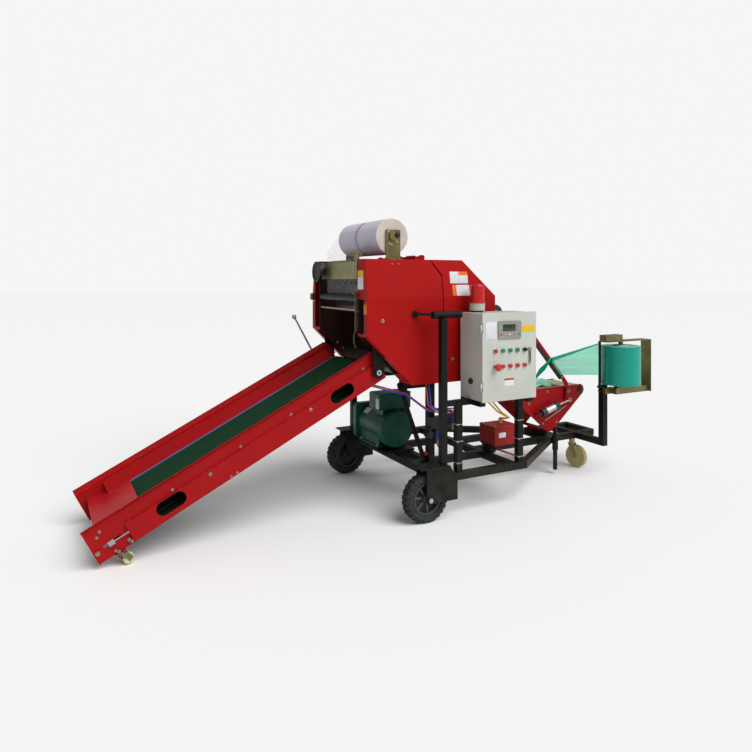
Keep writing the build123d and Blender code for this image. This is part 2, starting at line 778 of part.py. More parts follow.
def make_tensioners():
    """Blocks of the tail shaft in the recess outside the boards, with their threaded rods and nuts."""
    low, high = conveyor_half_width - board_inset, conveyor_half_width - 4
    rod = rod_x(0, 0, tension_rod, -tail_drum + 12, -channel_end + 25)
    nut = rod_x(0, 0, tension_rod + 1.8, -channel_end - 8, -channel_end - seat_gap)
    rod_y_offset = conveyor_half_width - board_inset / 2 - 1
    hole = rod_y(-tail_drum, 0, tail_shaft + running_fit, low - 5, high + 5)
    block = box(-tail_drum - 14, -tail_drum + 14, low, high, -12, 12)
    one = (Pos(0, rod_y_offset, 0) * (rod + nut) + block) - hole
    return group(one, mirrored(one))


side = make_side()
parts["conveyor_sides"] = group(local(side), local(mirrored(side)))
parts["conveyor_bed"] = local(make_bed())
parts["conveyor_belt"] = local(make_belt())
parts["conveyor_drums"] = group(local(make_drums()), local(make_tensioners()))
parts["infeed_plate"] = local(make_infeed())


# Hanger plates on the chamber walls, with the bearings of the conveyor's head shaft
def make_hanger():
    top_z = pivot_z + hanger_top
    plate = box(pivot_x - 32, pivot_x + 32, -hanger_y - hanger_plate, -hanger_y, pivot_z, top_z)
    plate += rod_y(pivot_x, pivot_z, 32, -hanger_y - hanger_plate, -hanger_y)
    boss = rod_y(pivot_x, pivot_z, 24, -hanger_y - hanger_plate - 6, -hanger_y)
    spacer = box(pivot_x + 2, pivot_x + 32, -hanger_y, -outer_wall_y, top_z - 40, top_z)
    hole = rod_y(pivot_x, pivot_z, conveyor_shaft_radius + running_fit, -beyond, 0)
    return (plate + boss + spacer) - hole


hanger = make_hanger()
parts["conveyor_hangers"] = group(hanger, mirrored(hanger))


# Casters
def make_caster_wheel(size):
    half = size["width"] / 2
    radius = size["radius"]
    bore = size["stem"] * 0.5 + running_fit
    edge = min(5, half / 2)
    profile = [(bore, -half), (bore, half), (radius - edge, half), (radius, half - edge),
               (radius, -half + edge), (radius - edge, -half)]
    return turned_y(profile)


def make_caster_fork(size, mount_z):
    """Fork below a swivel stem at the origin, with its axle at the trail along X."""
    radius = size["radius"]
    inside = size["width"] / 2 + 2
    plate = size["plate"]
    axle_z = -mount_z + radius
    roof_z = axle_z + radius + 6
    trail = size["trail"]
    arm_points = [(trail - 12, axle_z - 10), (trail + 12, axle_z - 10), (trail + 14, axle_z),
                  (16, roof_z), (-16, roof_z), (trail - 14, axle_z)]
    near = slab_y(arm_points, -inside - plate, -inside)
    roof = box(-18, 18, -inside - plate, inside + plate, roof_z, roof_z + plate)
    stem = rod_z(0, 0, size["stem"], roof_z + plate, -0.5)
    axle = rod_y(size["trail"], axle_z, size["stem"] * 0.5, -inside - plate - 4, inside + plate + 4)
    race = rod_z(0, 0, size["stem"] * 1.8, roof_z + plate, -3)
    return near + mirrored(near) + roof + stem + race + axle


rear_mount_z = frame_bottom_z - caster_plate
rear_place = Pos(rear_caster_x, rear_caster_y, rear_mount_z) * Rot(0, 0, rear_caster_turn_deg)
rear_axle = Pos(rear_caster["trail"], 0, -rear_mount_z + rear_caster["radius"])
parts["rear_caster_fork"] = rear_place * make_caster_fork(rear_caster, rear_mount_z)
parts["rear_caster_wheel"] = rear_place * rear_axle * make_caster_wheel(rear_caster)

# The tail casters are square to the tilted conveyor; the drop to the axle puts each tread on the floor
tilt = radians(conveyor_tilt_deg)
tail_wheel = make_caster_wheel(tail_caster)
tail_drops = {}
for name, side in (("near", -1), ("far", 1)):
    turn_deg = tail_caster_turns_deg[name]
    turned_wheel = Rot(0, -conveyor_tilt_deg, 0) * Rot(0, 0, turn_deg) * tail_wheel
    lowest = turned_wheel.bounding_box().min.Z
    rise = tail_caster["trail"] * cos(radians(turn_deg)) * sin(tilt)
    drop = (tail_mount_height + rise + lowest) / cos(tilt)
    place = to_machine * Pos(-tail_caster_along, side * tail_caster_y, tail_mount_local_z)
    place = place * Rot(0, 0, turn_deg)
    parts["tail_caster_fork_" + name] = place * make_caster_fork(tail_caster, drop + tail_caster["radius"])
    parts["tail_caster_wheel_" + name] = place * Pos(tail_caster["trail"], 0, -drop) * tail_wheel
    tail_drops[name] = drop


def make_tail_foot():
    """Angle iron across the tail that carries the two caster plates."""
    low = -shaft_height - 6
    half = conveyor_half_width - board_inset - sheet
    foot = box(-tail_caster_along - 30, -tail_caster_along + 30, -half, half, low, low + 4)
    plates = []
    for side in (-1, 1):
        plate = box(-tail_caster_along - 24, -tail_caster_along + 24, side * tail_caster_y - 14,
                    side * tail_caster_y + 14, tail_mount_local_z, low)
        plate = plate - Pos(-tail_caster_along, side * tail_caster_y, tail_mount_local_z) * Cylinder(
            tail_caster["stem"] + running_fit, 20)
        plates.append(plate)
    return foot + plates[0] + plates[1]


parts["tail_foot"] = local(make_tail_foot())
rear_plate = box(rear_caster_x - 34, rear_caster_x + 34, rear_caster_y - 30, rear_caster_y + 30,
                 rear_mount_z, frame_bottom_z)
rear_plate = rear_plate - Pos(rear_caster_x, rear_caster_y, rear_mount_z) * Cylinder(
    rear_caster["stem"] + running_fit, 20)
parts["base_frame"] = parts["base_frame"] + rear_plate


# Drive motor: finned body, fan cover, end shield, feet and terminal box
def make_motor():
    axis_z = frame_top_z + motor_plate + motor_shaft_height
    body_start = motor_near_y + 58
    shield_start = motor_far_y - 46
    body = rod_y(motor_x, axis_z, motor_radius, body_start, shield_start)
    fan = Pos(motor_x, motor_near_y, axis_z) * turned_y(
        [(0, 0), (fan_cover_radius - 10, 0), (fan_cover_radius, 10), (fan_cover_radius, 58), (0, 58)])
    shield = Pos(motor_x, (shield_start + motor_far_y) / 2, axis_z) * Rot(90, 0, 0) * extrude(
        RectangleRounded(2 * fan_cover_radius, 2 * fan_cover_radius, 30), 23, both=True)
    shaft = rod_y(motor_x, axis_z, 14, motor_far_y, motor_far_y + 50)
    solid = body + fan + shield + shaft
    for side in (-1, 1):
        foot_x = motor_x + side * 78
        solid += box(foot_x - 20, foot_x + 20, body_start + 20, shield_start - 10,
                     frame_top_z + motor_plate, frame_top_z + motor_plate + 14)
        solid += box(foot_x - 7, foot_x + 7, body_start + 20, shield_start - 10,
                     frame_top_z + motor_plate, axis_z - 50)
    return solid


def make_terminal_box():
    axis_z = frame_top_z + motor_plate + motor_shaft_height
    low = axis_z + motor_radius + 17
    neck = box(motor_x - 60, motor_x + 60, motor_near_y + 75, motor_near_y + 175, low - 37, low)
    case = box(motor_x - 95, motor_x + 129, motor_near_y + 60, motor_near_y + 190, low, low + 96)
    axis_body = rod_y(motor_x, axis_z, motor_radius + 0.2, 0, motor_far_y)
    return (neck - axis_body) + case


parts["drive_motor"] = group(make_motor(), make_terminal_box())


# Air unit on the near leg, valve block on an arm from it, drive box on its shelf
leg_face_y = near_leg[1] - tube / 2


def make_air_unit():
    body = box(165, 245, leg_face_y - 40, leg_face_y, 434, 502)
    bowl = rod_z(231, leg_face_y - 20, 17, 372, 434) + rod_z(231, leg_face_y - 20, 9, 330, 372)
    gauge = rod_y(164, 404, 22, leg_face_y - 42, leg_face_y - 4)
    link = box(156, 172, leg_face_y - 30, leg_face_y - 8, 404, 440) + box(160, 170, leg_face_y - 30,
                                                                          leg_face_y - 8, 430, 450)
    return body + bowl + gauge + link


def make_valve_block():
    start_x = near_leg[0] + tube / 2
    arm = box(start_x, valve_x, leg_face_y + 12, leg_face_y + 18, 440, 470)
    block = box(valve_x, valve_x + 50, leg_face_y - 46, leg_face_y + 20, 418, 504)
    return arm + block


parts["air_unit"] = group(make_air_unit(), make_valve_block())
parts["drive_box"] = box(drive_box_x, drive_box_x + drive_box_length, -330, -180, drive_box_z,
                         drive_box_z + drive_box_height)


# Control cabinet: open-fronted case, hinged door, controls and beacon
cabinet_rear_x = cabinet_front_x + cabinet_width
cabinet_top_z = cabinet_bottom_z + cabinet_height
cabinet_back_y = cabinet_front_y + cabinet_depth
door_left_x = cabinet_front_x - door_margin + 2
door_hinge_x = cabinet_front_x - 5
door_hinge_y = cabinet_front_y - door_thickness / 2


def make_cabinet():
    """Five flat panels seated edge to face, the mounting plate, the hinge pins and a hole plug."""
    x0, x1, y0, y1 = cabinet_front_x, cabinet_rear_x, cabinet_front_y, cabinet_back_y
    z0, z1, thick = cabinet_bottom_z, cabinet_top_z, cabinet_sheet
    panels = [box(x0, x0 + thick, y0, y1, z0, z1), box(x1 - thick, x1, y0, y1, z0, z1),
              box(x0 + thick, x1 - thick, y0, y1, z0, z0 + thick),
              box(x0 + thick, x1 - thick, y0, y1, z1 - thick, z1),
              box(x0 + thick, x1 - thick, y1 - thick, y1, z0 + thick, z1 - thick)]
    panels.append(box(x0 + 25, x1 - 25, y1 - thick - 12, y1 - thick, z0 + 30, z1 - 30))
    for knuckle_z in (z0 + 80, z1 - 80):
        pin = rod_z(door_hinge_x, door_hinge_y, 3, knuckle_z - 24, knuckle_z + 24)
        lug = box(door_hinge_x - 3, x0, door_hinge_y - 3, y0 + 12, knuckle_z - 24, knuckle_z - 12)
        panels.append(pin + lug)
    panels.append(rod_x(y1 - 102, z0 + 100, 15, x0 - 10, x0))
    return group(*panels)


def make_door():
    gap = 0.5
    face_y = cabinet_front_y - gap
    slab = box(door_left_x, cabinet_rear_x + door_margin, face_y - door_thickness, face_y,
               cabinet_bottom_z - door_margin, cabinet_top_z + door_margin)
    recess = box(cabinet_front_x + 8, cabinet_rear_x - 8, face_y - door_thickness + 2, face_y + 1,
                 cabinet_bottom_z + 8, cabinet_top_z - 8)
    solid = slab - recess
    for knuckle_z in (cabinet_bottom_z + 80, cabinet_top_z - 80):
        relief = rod_z(door_hinge_x, door_hinge_y, 10, knuckle_z - 26, knuckle_z + 26)
        solid = solid - relief
        sleeve = rod_z(door_hinge_x, door_hinge_y, 6, knuckle_z - 10, knuckle_z + 20)
        leaf = box(door_hinge_x, cabinet_front_x + 7, door_hinge_y - 4, door_hinge_y + 2,
                   knuckle_z - 10, knuckle_z + 20)
        solid += sleeve + leaf
        solid = solid - rod_z(door_hinge_x, door_hinge_y, 3 + running_fit, knuckle_z - 27, knuckle_z + 27)
    return solid


button_radius = 12
button_pitch = 51
button_first_x = door_left_x + 86
button_upper_z = 903
button_lower_z = 817
screen_x = door_left_x + 104


def make_controls():
    """Screen, five buttons over four and a mushroom button, and the lock's pull handle."""
    front = cabinet_front_y - 0.5 - door_thickness
    screen = box(screen_x, screen_x + 160, front - 8, front, 967, 1065)
    pieces = [fillet(screen.edges().filter_by(Axis.Y), 8)]
    for index in range(5):
        x = button_first_x + index * button_pitch
        pieces.append(rod_y(x, button_upper_z, button_radius, front - 14, front))
        if index > 0:
            pieces.append(rod_y(x, button_lower_z, button_radius, front - 14, front))
    stem = rod_y(button_first_x, button_lower_z, 13, front - 26, front)
    cap = rod_y(button_first_x, button_lower_z, 20, front - 38, front - 24)
    pieces.append(stem + cap)
    lock_x = door_left_x + 322
    handle = box(lock_x, lock_x + 12, front - 20, front - 8, 822, 912)
    for foot_z in (822, 890):
        handle += box(lock_x, lock_x + 12, front - 9, front, foot_z, foot_z + 22)
    pieces.append(handle)
    return group(*pieces)


def make_beacon():
    """Foot, drum and domed lens with a flange."""
    profile = [(0, 0), (34, 0), (34, 10), (43, 10), (43, 52), (46, 52), (46, 59), (40, 59),
               (40, 146), (33, 156), (0, 160)]
    return Pos(cabinet_front_x + 82, cabinet_back_y - 46, cabinet_top_z) * turned_z(profile)


parts["cabinet_body"] = make_cabinet()
parts["cabinet_door"] = make_door()
parts["door_controls"] = make_controls()
parts["beacon"] = make_beacon()


# Wrapping table on its pedestal: boat-shaped side plates, two rollers and the belts
spindle_bottom = frame_top_z - 12
pedestal_top = table_bottom_z - 10


def make_pedestal():
    solid = rod_z(table_x, 0, pedestal_radius, frame_top_z, pedestal_top)
    inner_y = tongue_half_width - tube / 2
    solid += box(table_x - 90, table_x + 90, -inner_y, inner_y, frame_top_z - 14, frame_top_z)
    return solid - rod_z(table_x, 0, spindle_radius + running_fit, spindle_bottom - 3, pedestal_top + 1)


def make_table_sides():
    reach = table_roller_reach
    top = [(-reach, table_top_z), (reach, table_top_z)]
    hull = [(-table_tip_half, table_bottom_z), (table_tip_half, table_bottom_z),
            (reach + table_end_radius * 0.8, table_roller_z - table_end_radius * 0.6),
            (reach + 2, table_top_z), (-reach - 2, table_top_z),
            (-reach - table_end_radius * 0.8, table_roller_z - table_end_radius * 0.6)]
    hull = [(table_x + x, z) for x, z in hull]
    outer = -table_half_width - table_plate
    near = slab_y(hull, outer, -table_half_width)
    for side in (-1, 1):
        near += rod_y(table_x + side * reach, table_roller_z, table_end_radius, outer, -table_half_width)
    window = slab_y([(table_x - 120, 500), (table_x + 120, 500), (table_x, 400)],
                    outer - 1, -table_half_width + 1)
    far = mirrored(near - window)
    pivot_pin = rod_y(cutter_pivot_x, cutter_pivot_z, 7, cutter_y - cutter_thickness - 4, outer)
    barrel_lug = rod_y(barrel_hinge_x, barrel_hinge_z, 12, barrel_y + 6, outer)
    barrel_pin = rod_y(barrel_hinge_x, barrel_hinge_z, 5, barrel_y - 14, barrel_y + 6)
    floor = box(table_x - table_tip_half, table_x + table_tip_half, -table_half_width, table_half_width,
                table_bottom_z, table_bottom_z + 8)
    ties = []
    for side in (-1, 1):
        ties.append(rod_y(table_x + side * 180, table_roller_z - 60, 12, -table_half_width, table_half_width))
    spindle = rod_z(table_x, 0, spindle_radius, spindle_bottom, table_bottom_z)
    flange_disc = rod_z(table_x, 0, 60, table_bottom_z - 6, table_bottom_z)
    solid = near + far + floor + ties[0] + ties[1] + spindle + flange_disc
    return solid + pivot_pin + barrel_lug + barrel_pin


def make_table_rollers():
    rollers = []
    for side in (-1, 1):
        rollers.append(rod_y(table_x + side * table_roller_reach, table_roller_z, table_roller_radius,
                             -table_half_width, table_half_width))
    return group(*rollers)


def make_table_belts():
    inner = SlotCenterToCenter(2 * table_roller_reach, 2 * (table_roller_radius + seat_gap))
    outer = SlotCenterToCenter(2 * table_roller_reach, 2 * (table_roller_radius + seat_gap + table_belt))
    pitch = (2 * table_half_width - 12) / table_belt_count
    belts = []
    for index in range(table_belt_count):
        y = (index - (table_belt_count - 1) / 2) * pitch
        loop = Rot(90, 0, 0) * extrude(outer - inner, table_belt_width / 2, both=True)
        belts.append(Pos(table_x, y, table_roller_z) * loop)
    return group(*belts)


# Cutter arm with its air cylinder on the near side of the table
cutter_y = -table_half_width - table_plate - 8
barrel_y = cutter_y - cutter_thickness - barrel_cap_radius - 2
eye_bore = 8
eye_pin = 4


def make_cutter():
    low, high = cutter_y - cutter_thickness, cutter_y
    corners = [(cutter_tip_x, cutter_tip_z), (cutter_knee_x, cutter_knee_z), (cutter_elbow_x, cutter_elbow_z),
               (cutter_pivot_x, cutter_pivot_z), (cutter_eye_x, cutter_eye_z)]
    arm = bar_y(corners[0], corners[1], cutter_width, low, high)
    for start, end in zip(corners[1:], corners[2:]):
        arm = arm + bar_y(start, end, cutter_width, low, high)
    pin = rod_y(cutter_eye_x, cutter_eye_z, eye_pin, barrel_y - 10, low)
    bore = rod_y(cutter_pivot_x, cutter_pivot_z, 7 + running_fit, low - 5, high + 5)
    return arm + pin - bore


link_length = hypot(cutter_eye_x - barrel_hinge_x, cutter_eye_z - barrel_hinge_z)
link_deg = degrees(atan2(cutter_eye_z - barrel_hinge_z, cutter_eye_x - barrel_hinge_x))
to_link = Pos(barrel_hinge_x, barrel_y, barrel_hinge_z) * Rot(0, -link_deg, 0)


def make_barrel():
    barrel_end = barrel_start + barrel_length
    body = rod_x(0, 0, barrel_radius, barrel_start, barrel_end)
    body += rod_x(0, 0, barrel_cap_radius, barrel_start, barrel_start + barrel_caps)
    body += rod_x(0, 0, barrel_cap_radius, barrel_end - barrel_caps, barrel_end)
    tail = bar_y((0, 0), (22, 0), 22, -7, 4)
    solid = body + tail
    solid = solid - rod_y(0, 0, 5 + running_fit, -20, 20)
    solid = solid - rod_x(0, 0, rod_radius + running_fit, barrel_bore_start, barrel_end + 1)
    return to_link * solid


def make_rod():
    rod = rod_x(0, 0, rod_radius, rod_start, link_length - eye_bore - 2)
    eye = rod_y(link_length, 0, eye_bore + 5, -6, 6)
    solid = rod + eye - rod_y(link_length, 0, eye_bore, -10, 10)
    return to_link * solid


parts["table_pedestal"] = make_pedestal()
parts["table_sides"] = make_table_sides()
parts["table_rollers"] = make_table_rollers()
parts["table_belts"] = make_table_belts()
parts["cutter_arm"] = make_cutter()
parts["cutter_barrel"] = make_barrel()
parts["cutter_rod"] = make_rod()


# Film stand: post with the guide roller, zinc carriage with the spindle, film roll and web
arm_low_z = film_roll_bottom_z - 63
arm_high_z = arm_low_z + tube
carriage_top_z = film_roll_bottom_z + film_roll_height + 30


def make_film_post():
    half = tube / 2
    column = box(outrigger_x - half, outrigger_x + half, film_post_y - half, film_post_y + half,
                 frame_top_z, film_post_top_z)
    foot = box(guide_x - 12, outrigger_x - half, guide_y - 12, guide_y + 12,
               film_post_top_z - 12, film_post_top_z)
    roller = rod_z(guide_x, guide_y, guide_radius, film_post_top_z, carriage_top_z)
    return column + foot + roller


def make_carriage():
    y0 = film_roll_y - carriage_width / 2
    y1 = film_roll_y + carriage_width / 2
    half = tube / 2
    start_x = outrigger_x + half + 8
    lower = box(start_x, carriage_rear_x, film_roll_y - half, film_roll_y + half, arm_low_z, arm_high_z)
    clamp = box(outrigger_x - half - 4, outrigger_x + half + 30, film_roll_y + half, film_post_y - half,
                arm_low_z, arm_high_z)
    plate = box(carriage_rear_x, carriage_rear_x + carriage_plate, y0, y1,
                arm_low_z, carriage_top_z + carriage_plate)
    upper = box(guide_x - 20, carriage_rear_x, y0, y1, carriage_top_z, carriage_top_z + carriage_plate)
    head = box(guide_x - 20, guide_x + 130, film_roll_y - 28, film_roll_y + 28,
               carriage_top_z + carriage_plate, carriage_top_z + carriage_plate + 40)
    spindle = rod_z(film_roll_x, film_roll_y, film_spindle_radius, arm_high_z, carriage_top_z)
    collar = rod_z(film_roll_x, film_roll_y, film_core_radius + 6, arm_high_z, film_roll_bottom_z - 2)
    return lower + clamp + plate + upper + head + spindle + collar


def make_film_roll():
    bore = film_spindle_radius + running_fit
    profile = [(bore, 0), (bore, film_roll_height + 8), (film_core_radius, film_roll_height + 8),
               (film_core_radius, film_roll_height), (film_roll_radius, film_roll_height),
               (film_roll_radius, 0), (film_core_radius, 0)]
    return Pos(film_roll_x, film_roll_y, film_roll_bottom_z) * turned_z(profile)


def make_film_web():
    """Web stretched from the guide roller to the cutter arm, in two flat halves."""
    start = guide_x - guide_radius - seat_gap / 2
    end_y = cutter_y - cutter_thickness - seat_gap / 2
    high, low = (start, guide_y, film_top_z), (start, guide_y, film_low_z)
    fold, foot = (film_fold_x, end_y, film_fold_z), (film_foot_x, end_y, film_foot_z)
    solid = None
    for corners in ((high, low, foot), (high, foot, fold)):
        lower = make_face(Polyline(*corners, close=True))
        half = extrude(lower, film, dir=(-0.8, -0.6, 0))
        solid = half if solid is None else solid + half
    return solid


parts["film_post"] = make_film_post()
parts["film_carriage"] = make_carriage()
parts["film_roll"] = make_film_roll()
parts["film_web"] = make_film_web()


# Jack leg in the frame's sleeve and the lever beside the conveyor head
parts["jack_leg"] = rod_z(jack_x, jack_y, jack_radius, jack_foot_z, jack_top_z)
lever_y = hanger_y + hanger_plate + 30
lever_low = (-236, 742)
lever_high = (-412, 1060)
lever_joint = (-262, 789)
lever_block = (-205, 840)


def make_lever():
    length = hypot(lever_high[0] - lever_low[0], lever_high[1] - lever_low[1])
    turn = degrees(atan2(lever_high[0] - lever_low[0], lever_high[1] - lever_low[1]))
    rod = Rot(0, turn, 0) * Pos(0, 0, length / 2) * Cylinder(6, length)
    rod = Pos(lever_low[0], lever_y, lever_low[1]) * rod
    ball = Pos(lever_high[0], lever_y, lever_high[1]) * Sphere(15)
    strap = bar_y(lever_block, lever_joint, 22, lever_y - 6, lever_y + 4)
    block = rod_y(lever_block[0], lever_block[1], 10, hanger_y + hanger_plate, lever_y)
    return rod + ball + strap + block


parts["mouth_lever"] = make_lever()


# Chute behind the belt's head, the pieces round the mouth and the bracket on the net channel
def make_chute():
    half = chamber_half_width
    top = [(pivot_x + 29, pivot_z + 40), (pivot_x + 87, pivot_z + 78), (pivot_x + 87, pivot_z + 75)]
    return slab_y(top + [(pivot_x + 31, pivot_z + 38)], -half, half)


def make_mouth_trim():
    """Upright bar on the near wall's edge with its bent handle, and the block on the far cover."""
    bar = box(cover_front_x - 16, cover_front_x, -outer_wall_y, -chamber_half_width + 4, 1010, 1226)
    handle_y = -outer_wall_y + 5
    handle = hose([(cover_front_x - 8, handle_y, 1014), (cover_front_x - 22, handle_y, 996),
                   (cover_front_x - 22, handle_y, 948), (cover_front_x - 10, handle_y, 922)], 4, 12)
    knob = rod_y(cover_front_x - 8, guide_rod_z - 2, 12, -outer_wall_y - 12, -outer_wall_y)
    block = box(cover_front_x - 18, cover_front_x, cover_half_width - 38, cover_half_width - 4, 1165, 1205)
    return group(bar + handle + knob, block)


def make_net_trim():
    """Bracket with a pin and a bent rod on the top of the channel."""
    rear = channel_front_x + channel_depth
    plate = box(rear - 5, rear, -205, -150, channel_high_z, channel_high_z + 62)
    pin = rod_y(rear - 10, channel_high_z + 52, 5, -205, -80)
    rod = rod_y(rear - 12, channel_high_z + 5, 5, -150, 150)
    return plate + pin + rod


parts["mouth_trim"] = group(make_mouth_trim(), make_chute())
parts["mouth_channel"] = group(parts["mouth_channel"], make_net_trim())


# Air hoses and cables, each one held from end to end
def make_air_hoses(shift):
    """Hose from the far leg's arm across the front and down to the valve block, and one from the cover."""
    y = leg_face_y - 6 - 9 * shift
    drop = 9 * shift
    port = valve_x + 14 + 20 * shift
    start_x = cover_bottom_front_x + 12
    start_y = far_leg[1] + 9 * shift
    long_run = hose([(start_x, start_y, cover_bottom_z - tube / 2), (start_x - 30, start_y, 692 - drop / 3),
                     (-75, 200 + drop, 690 - drop), (-135, -60 + drop, 690 - drop), (-110, y, 689 - drop),
                     (23, y, 648 - drop), (123, y, 574 - drop), (160, y, 548 - drop), (250, y, 527 - drop),
                     (port, y, 524 - drop / 2), (port, y, 504)], 4, 12)
    short_run = hose([(156 + 12 * shift, -outer_wall_y + 2 - 12 * shift, cover_bottom_z),
                      (156 + 12 * shift, -outer_wall_y + 2 - 12 * shift, cover_bottom_z - 22),
                      (152 + 12 * shift, y - 22, 625), (158 + 12 * shift, y - 22, 570),
                      (205, y - 22, 541 + drop), (port, y - 22, 530 + drop), (port, y - 22, 504)], 4, 14)
    return group(long_run, short_run)


def make_cable(shift):
    """Cable from the cabinet down to the drive box."""
    x = 470 + 30 * shift
    y = cabinet_back_y + 14
    top = drive_box_z + drive_box_height
    return hose([(x, cabinet_back_y - 24, cabinet_bottom_z), (x, cabinet_back_y - 24, 590),
                 (x + 100, y, 516 - 8 * shift), (668 + 8 * shift, y + 20, 466), (700 + 14 * shift, -290, 440),
                 (700 + 14 * shift, -250, 440), (700 + 14 * shift, -250, top)], 5, 14)


parts["air_hoses_red"] = make_air_hoses(0)
parts["air_hoses_blue"] = make_air_hoses(1)
parts["drive_cables"] = group(make_cable(0), make_cable(1))

# The origin moves under the middle of the whole machine and the pieces are written
bounds = [solid.bounding_box() for solid in parts.values()]
low_x, high_x = min(b.min.X for b in bounds), max(b.max.X for b in bounds)
low_y, high_y = min(b.min.Y for b in bounds), max(b.max.Y for b in bounds)
centre_x = (low_x + high_x) / 2
centre_y = (low_y + high_y) / 2
to_origin = Pos(-centre_x, -centre_y, 0)
os.makedirs("parts", exist_ok=True)
for name, solid in parts.items():
    export_step(group(*[to_origin * piece for piece in solid.solids()]), "parts/" + name + ".step")
print("hose bend radii and volume ratios", hose_sizes)
print("length", high_x - low_x, "width", high_y - low_y, "height", max(b.max.Z for b in bounds))
print("lowest", min(b.min.Z for b in bounds), "centre", centre_x, centre_y, "nodes", len(parts))
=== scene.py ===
import bpy
import bmesh
import math
from mathutils import Matrix, Vector


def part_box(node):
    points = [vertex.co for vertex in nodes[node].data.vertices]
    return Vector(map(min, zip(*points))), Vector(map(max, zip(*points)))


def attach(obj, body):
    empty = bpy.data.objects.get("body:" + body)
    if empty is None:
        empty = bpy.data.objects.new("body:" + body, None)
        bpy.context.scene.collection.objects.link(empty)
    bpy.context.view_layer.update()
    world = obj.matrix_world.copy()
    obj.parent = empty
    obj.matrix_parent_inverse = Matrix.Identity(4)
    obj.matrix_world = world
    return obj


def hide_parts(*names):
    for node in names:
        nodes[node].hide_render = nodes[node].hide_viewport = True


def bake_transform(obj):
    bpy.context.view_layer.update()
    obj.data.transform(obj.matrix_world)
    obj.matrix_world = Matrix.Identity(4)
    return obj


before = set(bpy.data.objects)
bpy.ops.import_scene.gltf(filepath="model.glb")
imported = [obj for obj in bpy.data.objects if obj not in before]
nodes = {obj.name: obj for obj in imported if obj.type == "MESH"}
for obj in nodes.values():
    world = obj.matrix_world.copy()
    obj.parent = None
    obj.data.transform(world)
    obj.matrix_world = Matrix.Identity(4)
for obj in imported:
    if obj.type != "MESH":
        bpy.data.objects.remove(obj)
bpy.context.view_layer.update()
scene = bpy.context.scene
X, Y, Z = Vector((1, 0, 0)), Vector((0, 1, 0)), Vector((0, 0, 1))
SIDES = (-1, 1)
CORNERS = ((1, 1), (-1, 1), (-1, -1), (1, -1))

# Sizes and places of the drawing in millimetres: x along the machine, y across it, z up from the floor
AXLE_X = 6
AXLE_END_Y = 557
WHEEL_Z = 130
WHEEL_TRACK = 985
POST_Y = -490
CONDUIT_Z = 258
COVER_HALF = 380
COVER_LEAN = 30
COVER_TOP_Z = 1404
COVER_FRONT_X = -281
CREASE_Z = 1195
WALL_Y = 262
BUFFER_X = 635
BUFFER_Z = 1088
PIVOT = Vector((-187, 0, 788))
TILT = math.radians(26.6)
SHAFT_HEIGHT = 54
SIDE_Y = 310
BOARD_Y = 296
BOARD_FOOT = 100
MOTOR_X = 125
MOTOR_Z = 373
MOTOR_RADIUS = 98
TERMINAL_TOP = 584
BOX_TOP = Vector((692.5, -255, 400))
DOOR_LEFT = 294
DOOR_FACE = -614.5
TABLE_X = 1220
TABLE_SIDE = 136
ARM_FACE_Y = -154.2
BARREL_LOW = Vector((-132, 0, 408))
BARREL_HIGH = Vector((136, 0, 480))
FILM_ROLL = Vector((1560, -430, 608))
FILM_WIDTH = 250
FILM_GUIDE = Vector((1408.85, -385, 0))
NET_ROLL = Vector((-58, 0, 1535))
NET_HALF = 250
NET_RADIUS = 103
BRACKET_Y = 262
LABEL_GAP = 0.1


def drawing_origin():
    """Floor point between the front wheels in the row frame, in metres."""
    near_low, near_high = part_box("hub_near")
    far_low, far_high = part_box("hub_far")
    x = (near_low[0] + near_high[0]) / 2 - AXLE_X / 1000
    return Vector((x, (near_low[1] + far_high[1]) / 2, 0))


ORIGIN = drawing_origin()
MACHINE = Matrix.Translation(ORIGIN) @ Matrix.Scale(0.001, 4)
CONVEYOR = MACHINE @ Matrix.Translation(PIVOT) @ Matrix.Rotation(-TILT, 4, "Y")


def at(x, y, z):
    """Place of the drawing in the row frame."""
    return MACHINE @ Vector((x, y, z))


# Camera, solved from the photo's edges
CAMERA_PLACE = (-1823.4, -3388.05, 1300)
CAMERA_YAW = math.radians(28.0)
SENSOR_WIDTH = 36
LENS = 30.64
SHIFT_X = -0.0013
SHIFT_Y = -0.130
CLIP_END = 100

# Floor, backdrop and light, in metres and shares of white
FLOOR_HALF = 60
FLOOR_GREY = 0.93
BACKDROP_GREY = 0.92
SKY_STRENGTH = 0.36
SUN_STRENGTH = 2.7
SUN_SPREAD = math.radians(50)
SUN_FROM = Vector((0.25, -0.62, 0.74))


def make_camera():
    data = bpy.data.cameras.new("camera")
    data.sensor_width = SENSOR_WIDTH
    data.lens = LENS
    data.shift_x = SHIFT_X
    data.shift_y = SHIFT_Y
    data.clip_end = CLIP_END
    camera = bpy.data.objects.new("camera", data)
    camera.location = at(*CAMERA_PLACE)
    camera.rotation_euler = (math.pi / 2, 0, -CAMERA_YAW)
    scene.collection.objects.link(camera)
    scene.camera = camera
    scene.view_settings.view_transform = "Standard"


def make_stage():
    mesh = bpy.data.meshes.new("floor")
    corners = [(-x * FLOOR_HALF, -y * FLOOR_HALF, 0) for x, y in CORNERS]
    mesh.from_pydata(corners, [], [(0, 1, 2, 3)])
    floor = bpy.data.objects.new("floor", mesh)
    scene.collection.objects.link(floor)
    pale = bpy.data.materials.new("floor_pale")
    pale.use_nodes = True
    shader = pale.node_tree.nodes["Principled BSDF"]
    shader.inputs["Base Color"].default_value = (FLOOR_GREY, FLOOR_GREY, FLOOR_GREY, 1)
    shader.inputs["Roughness"].default_value = 0.8
    shader.inputs["Specular IOR Level"].default_value = 0.1
    mesh.materials.append(pale)


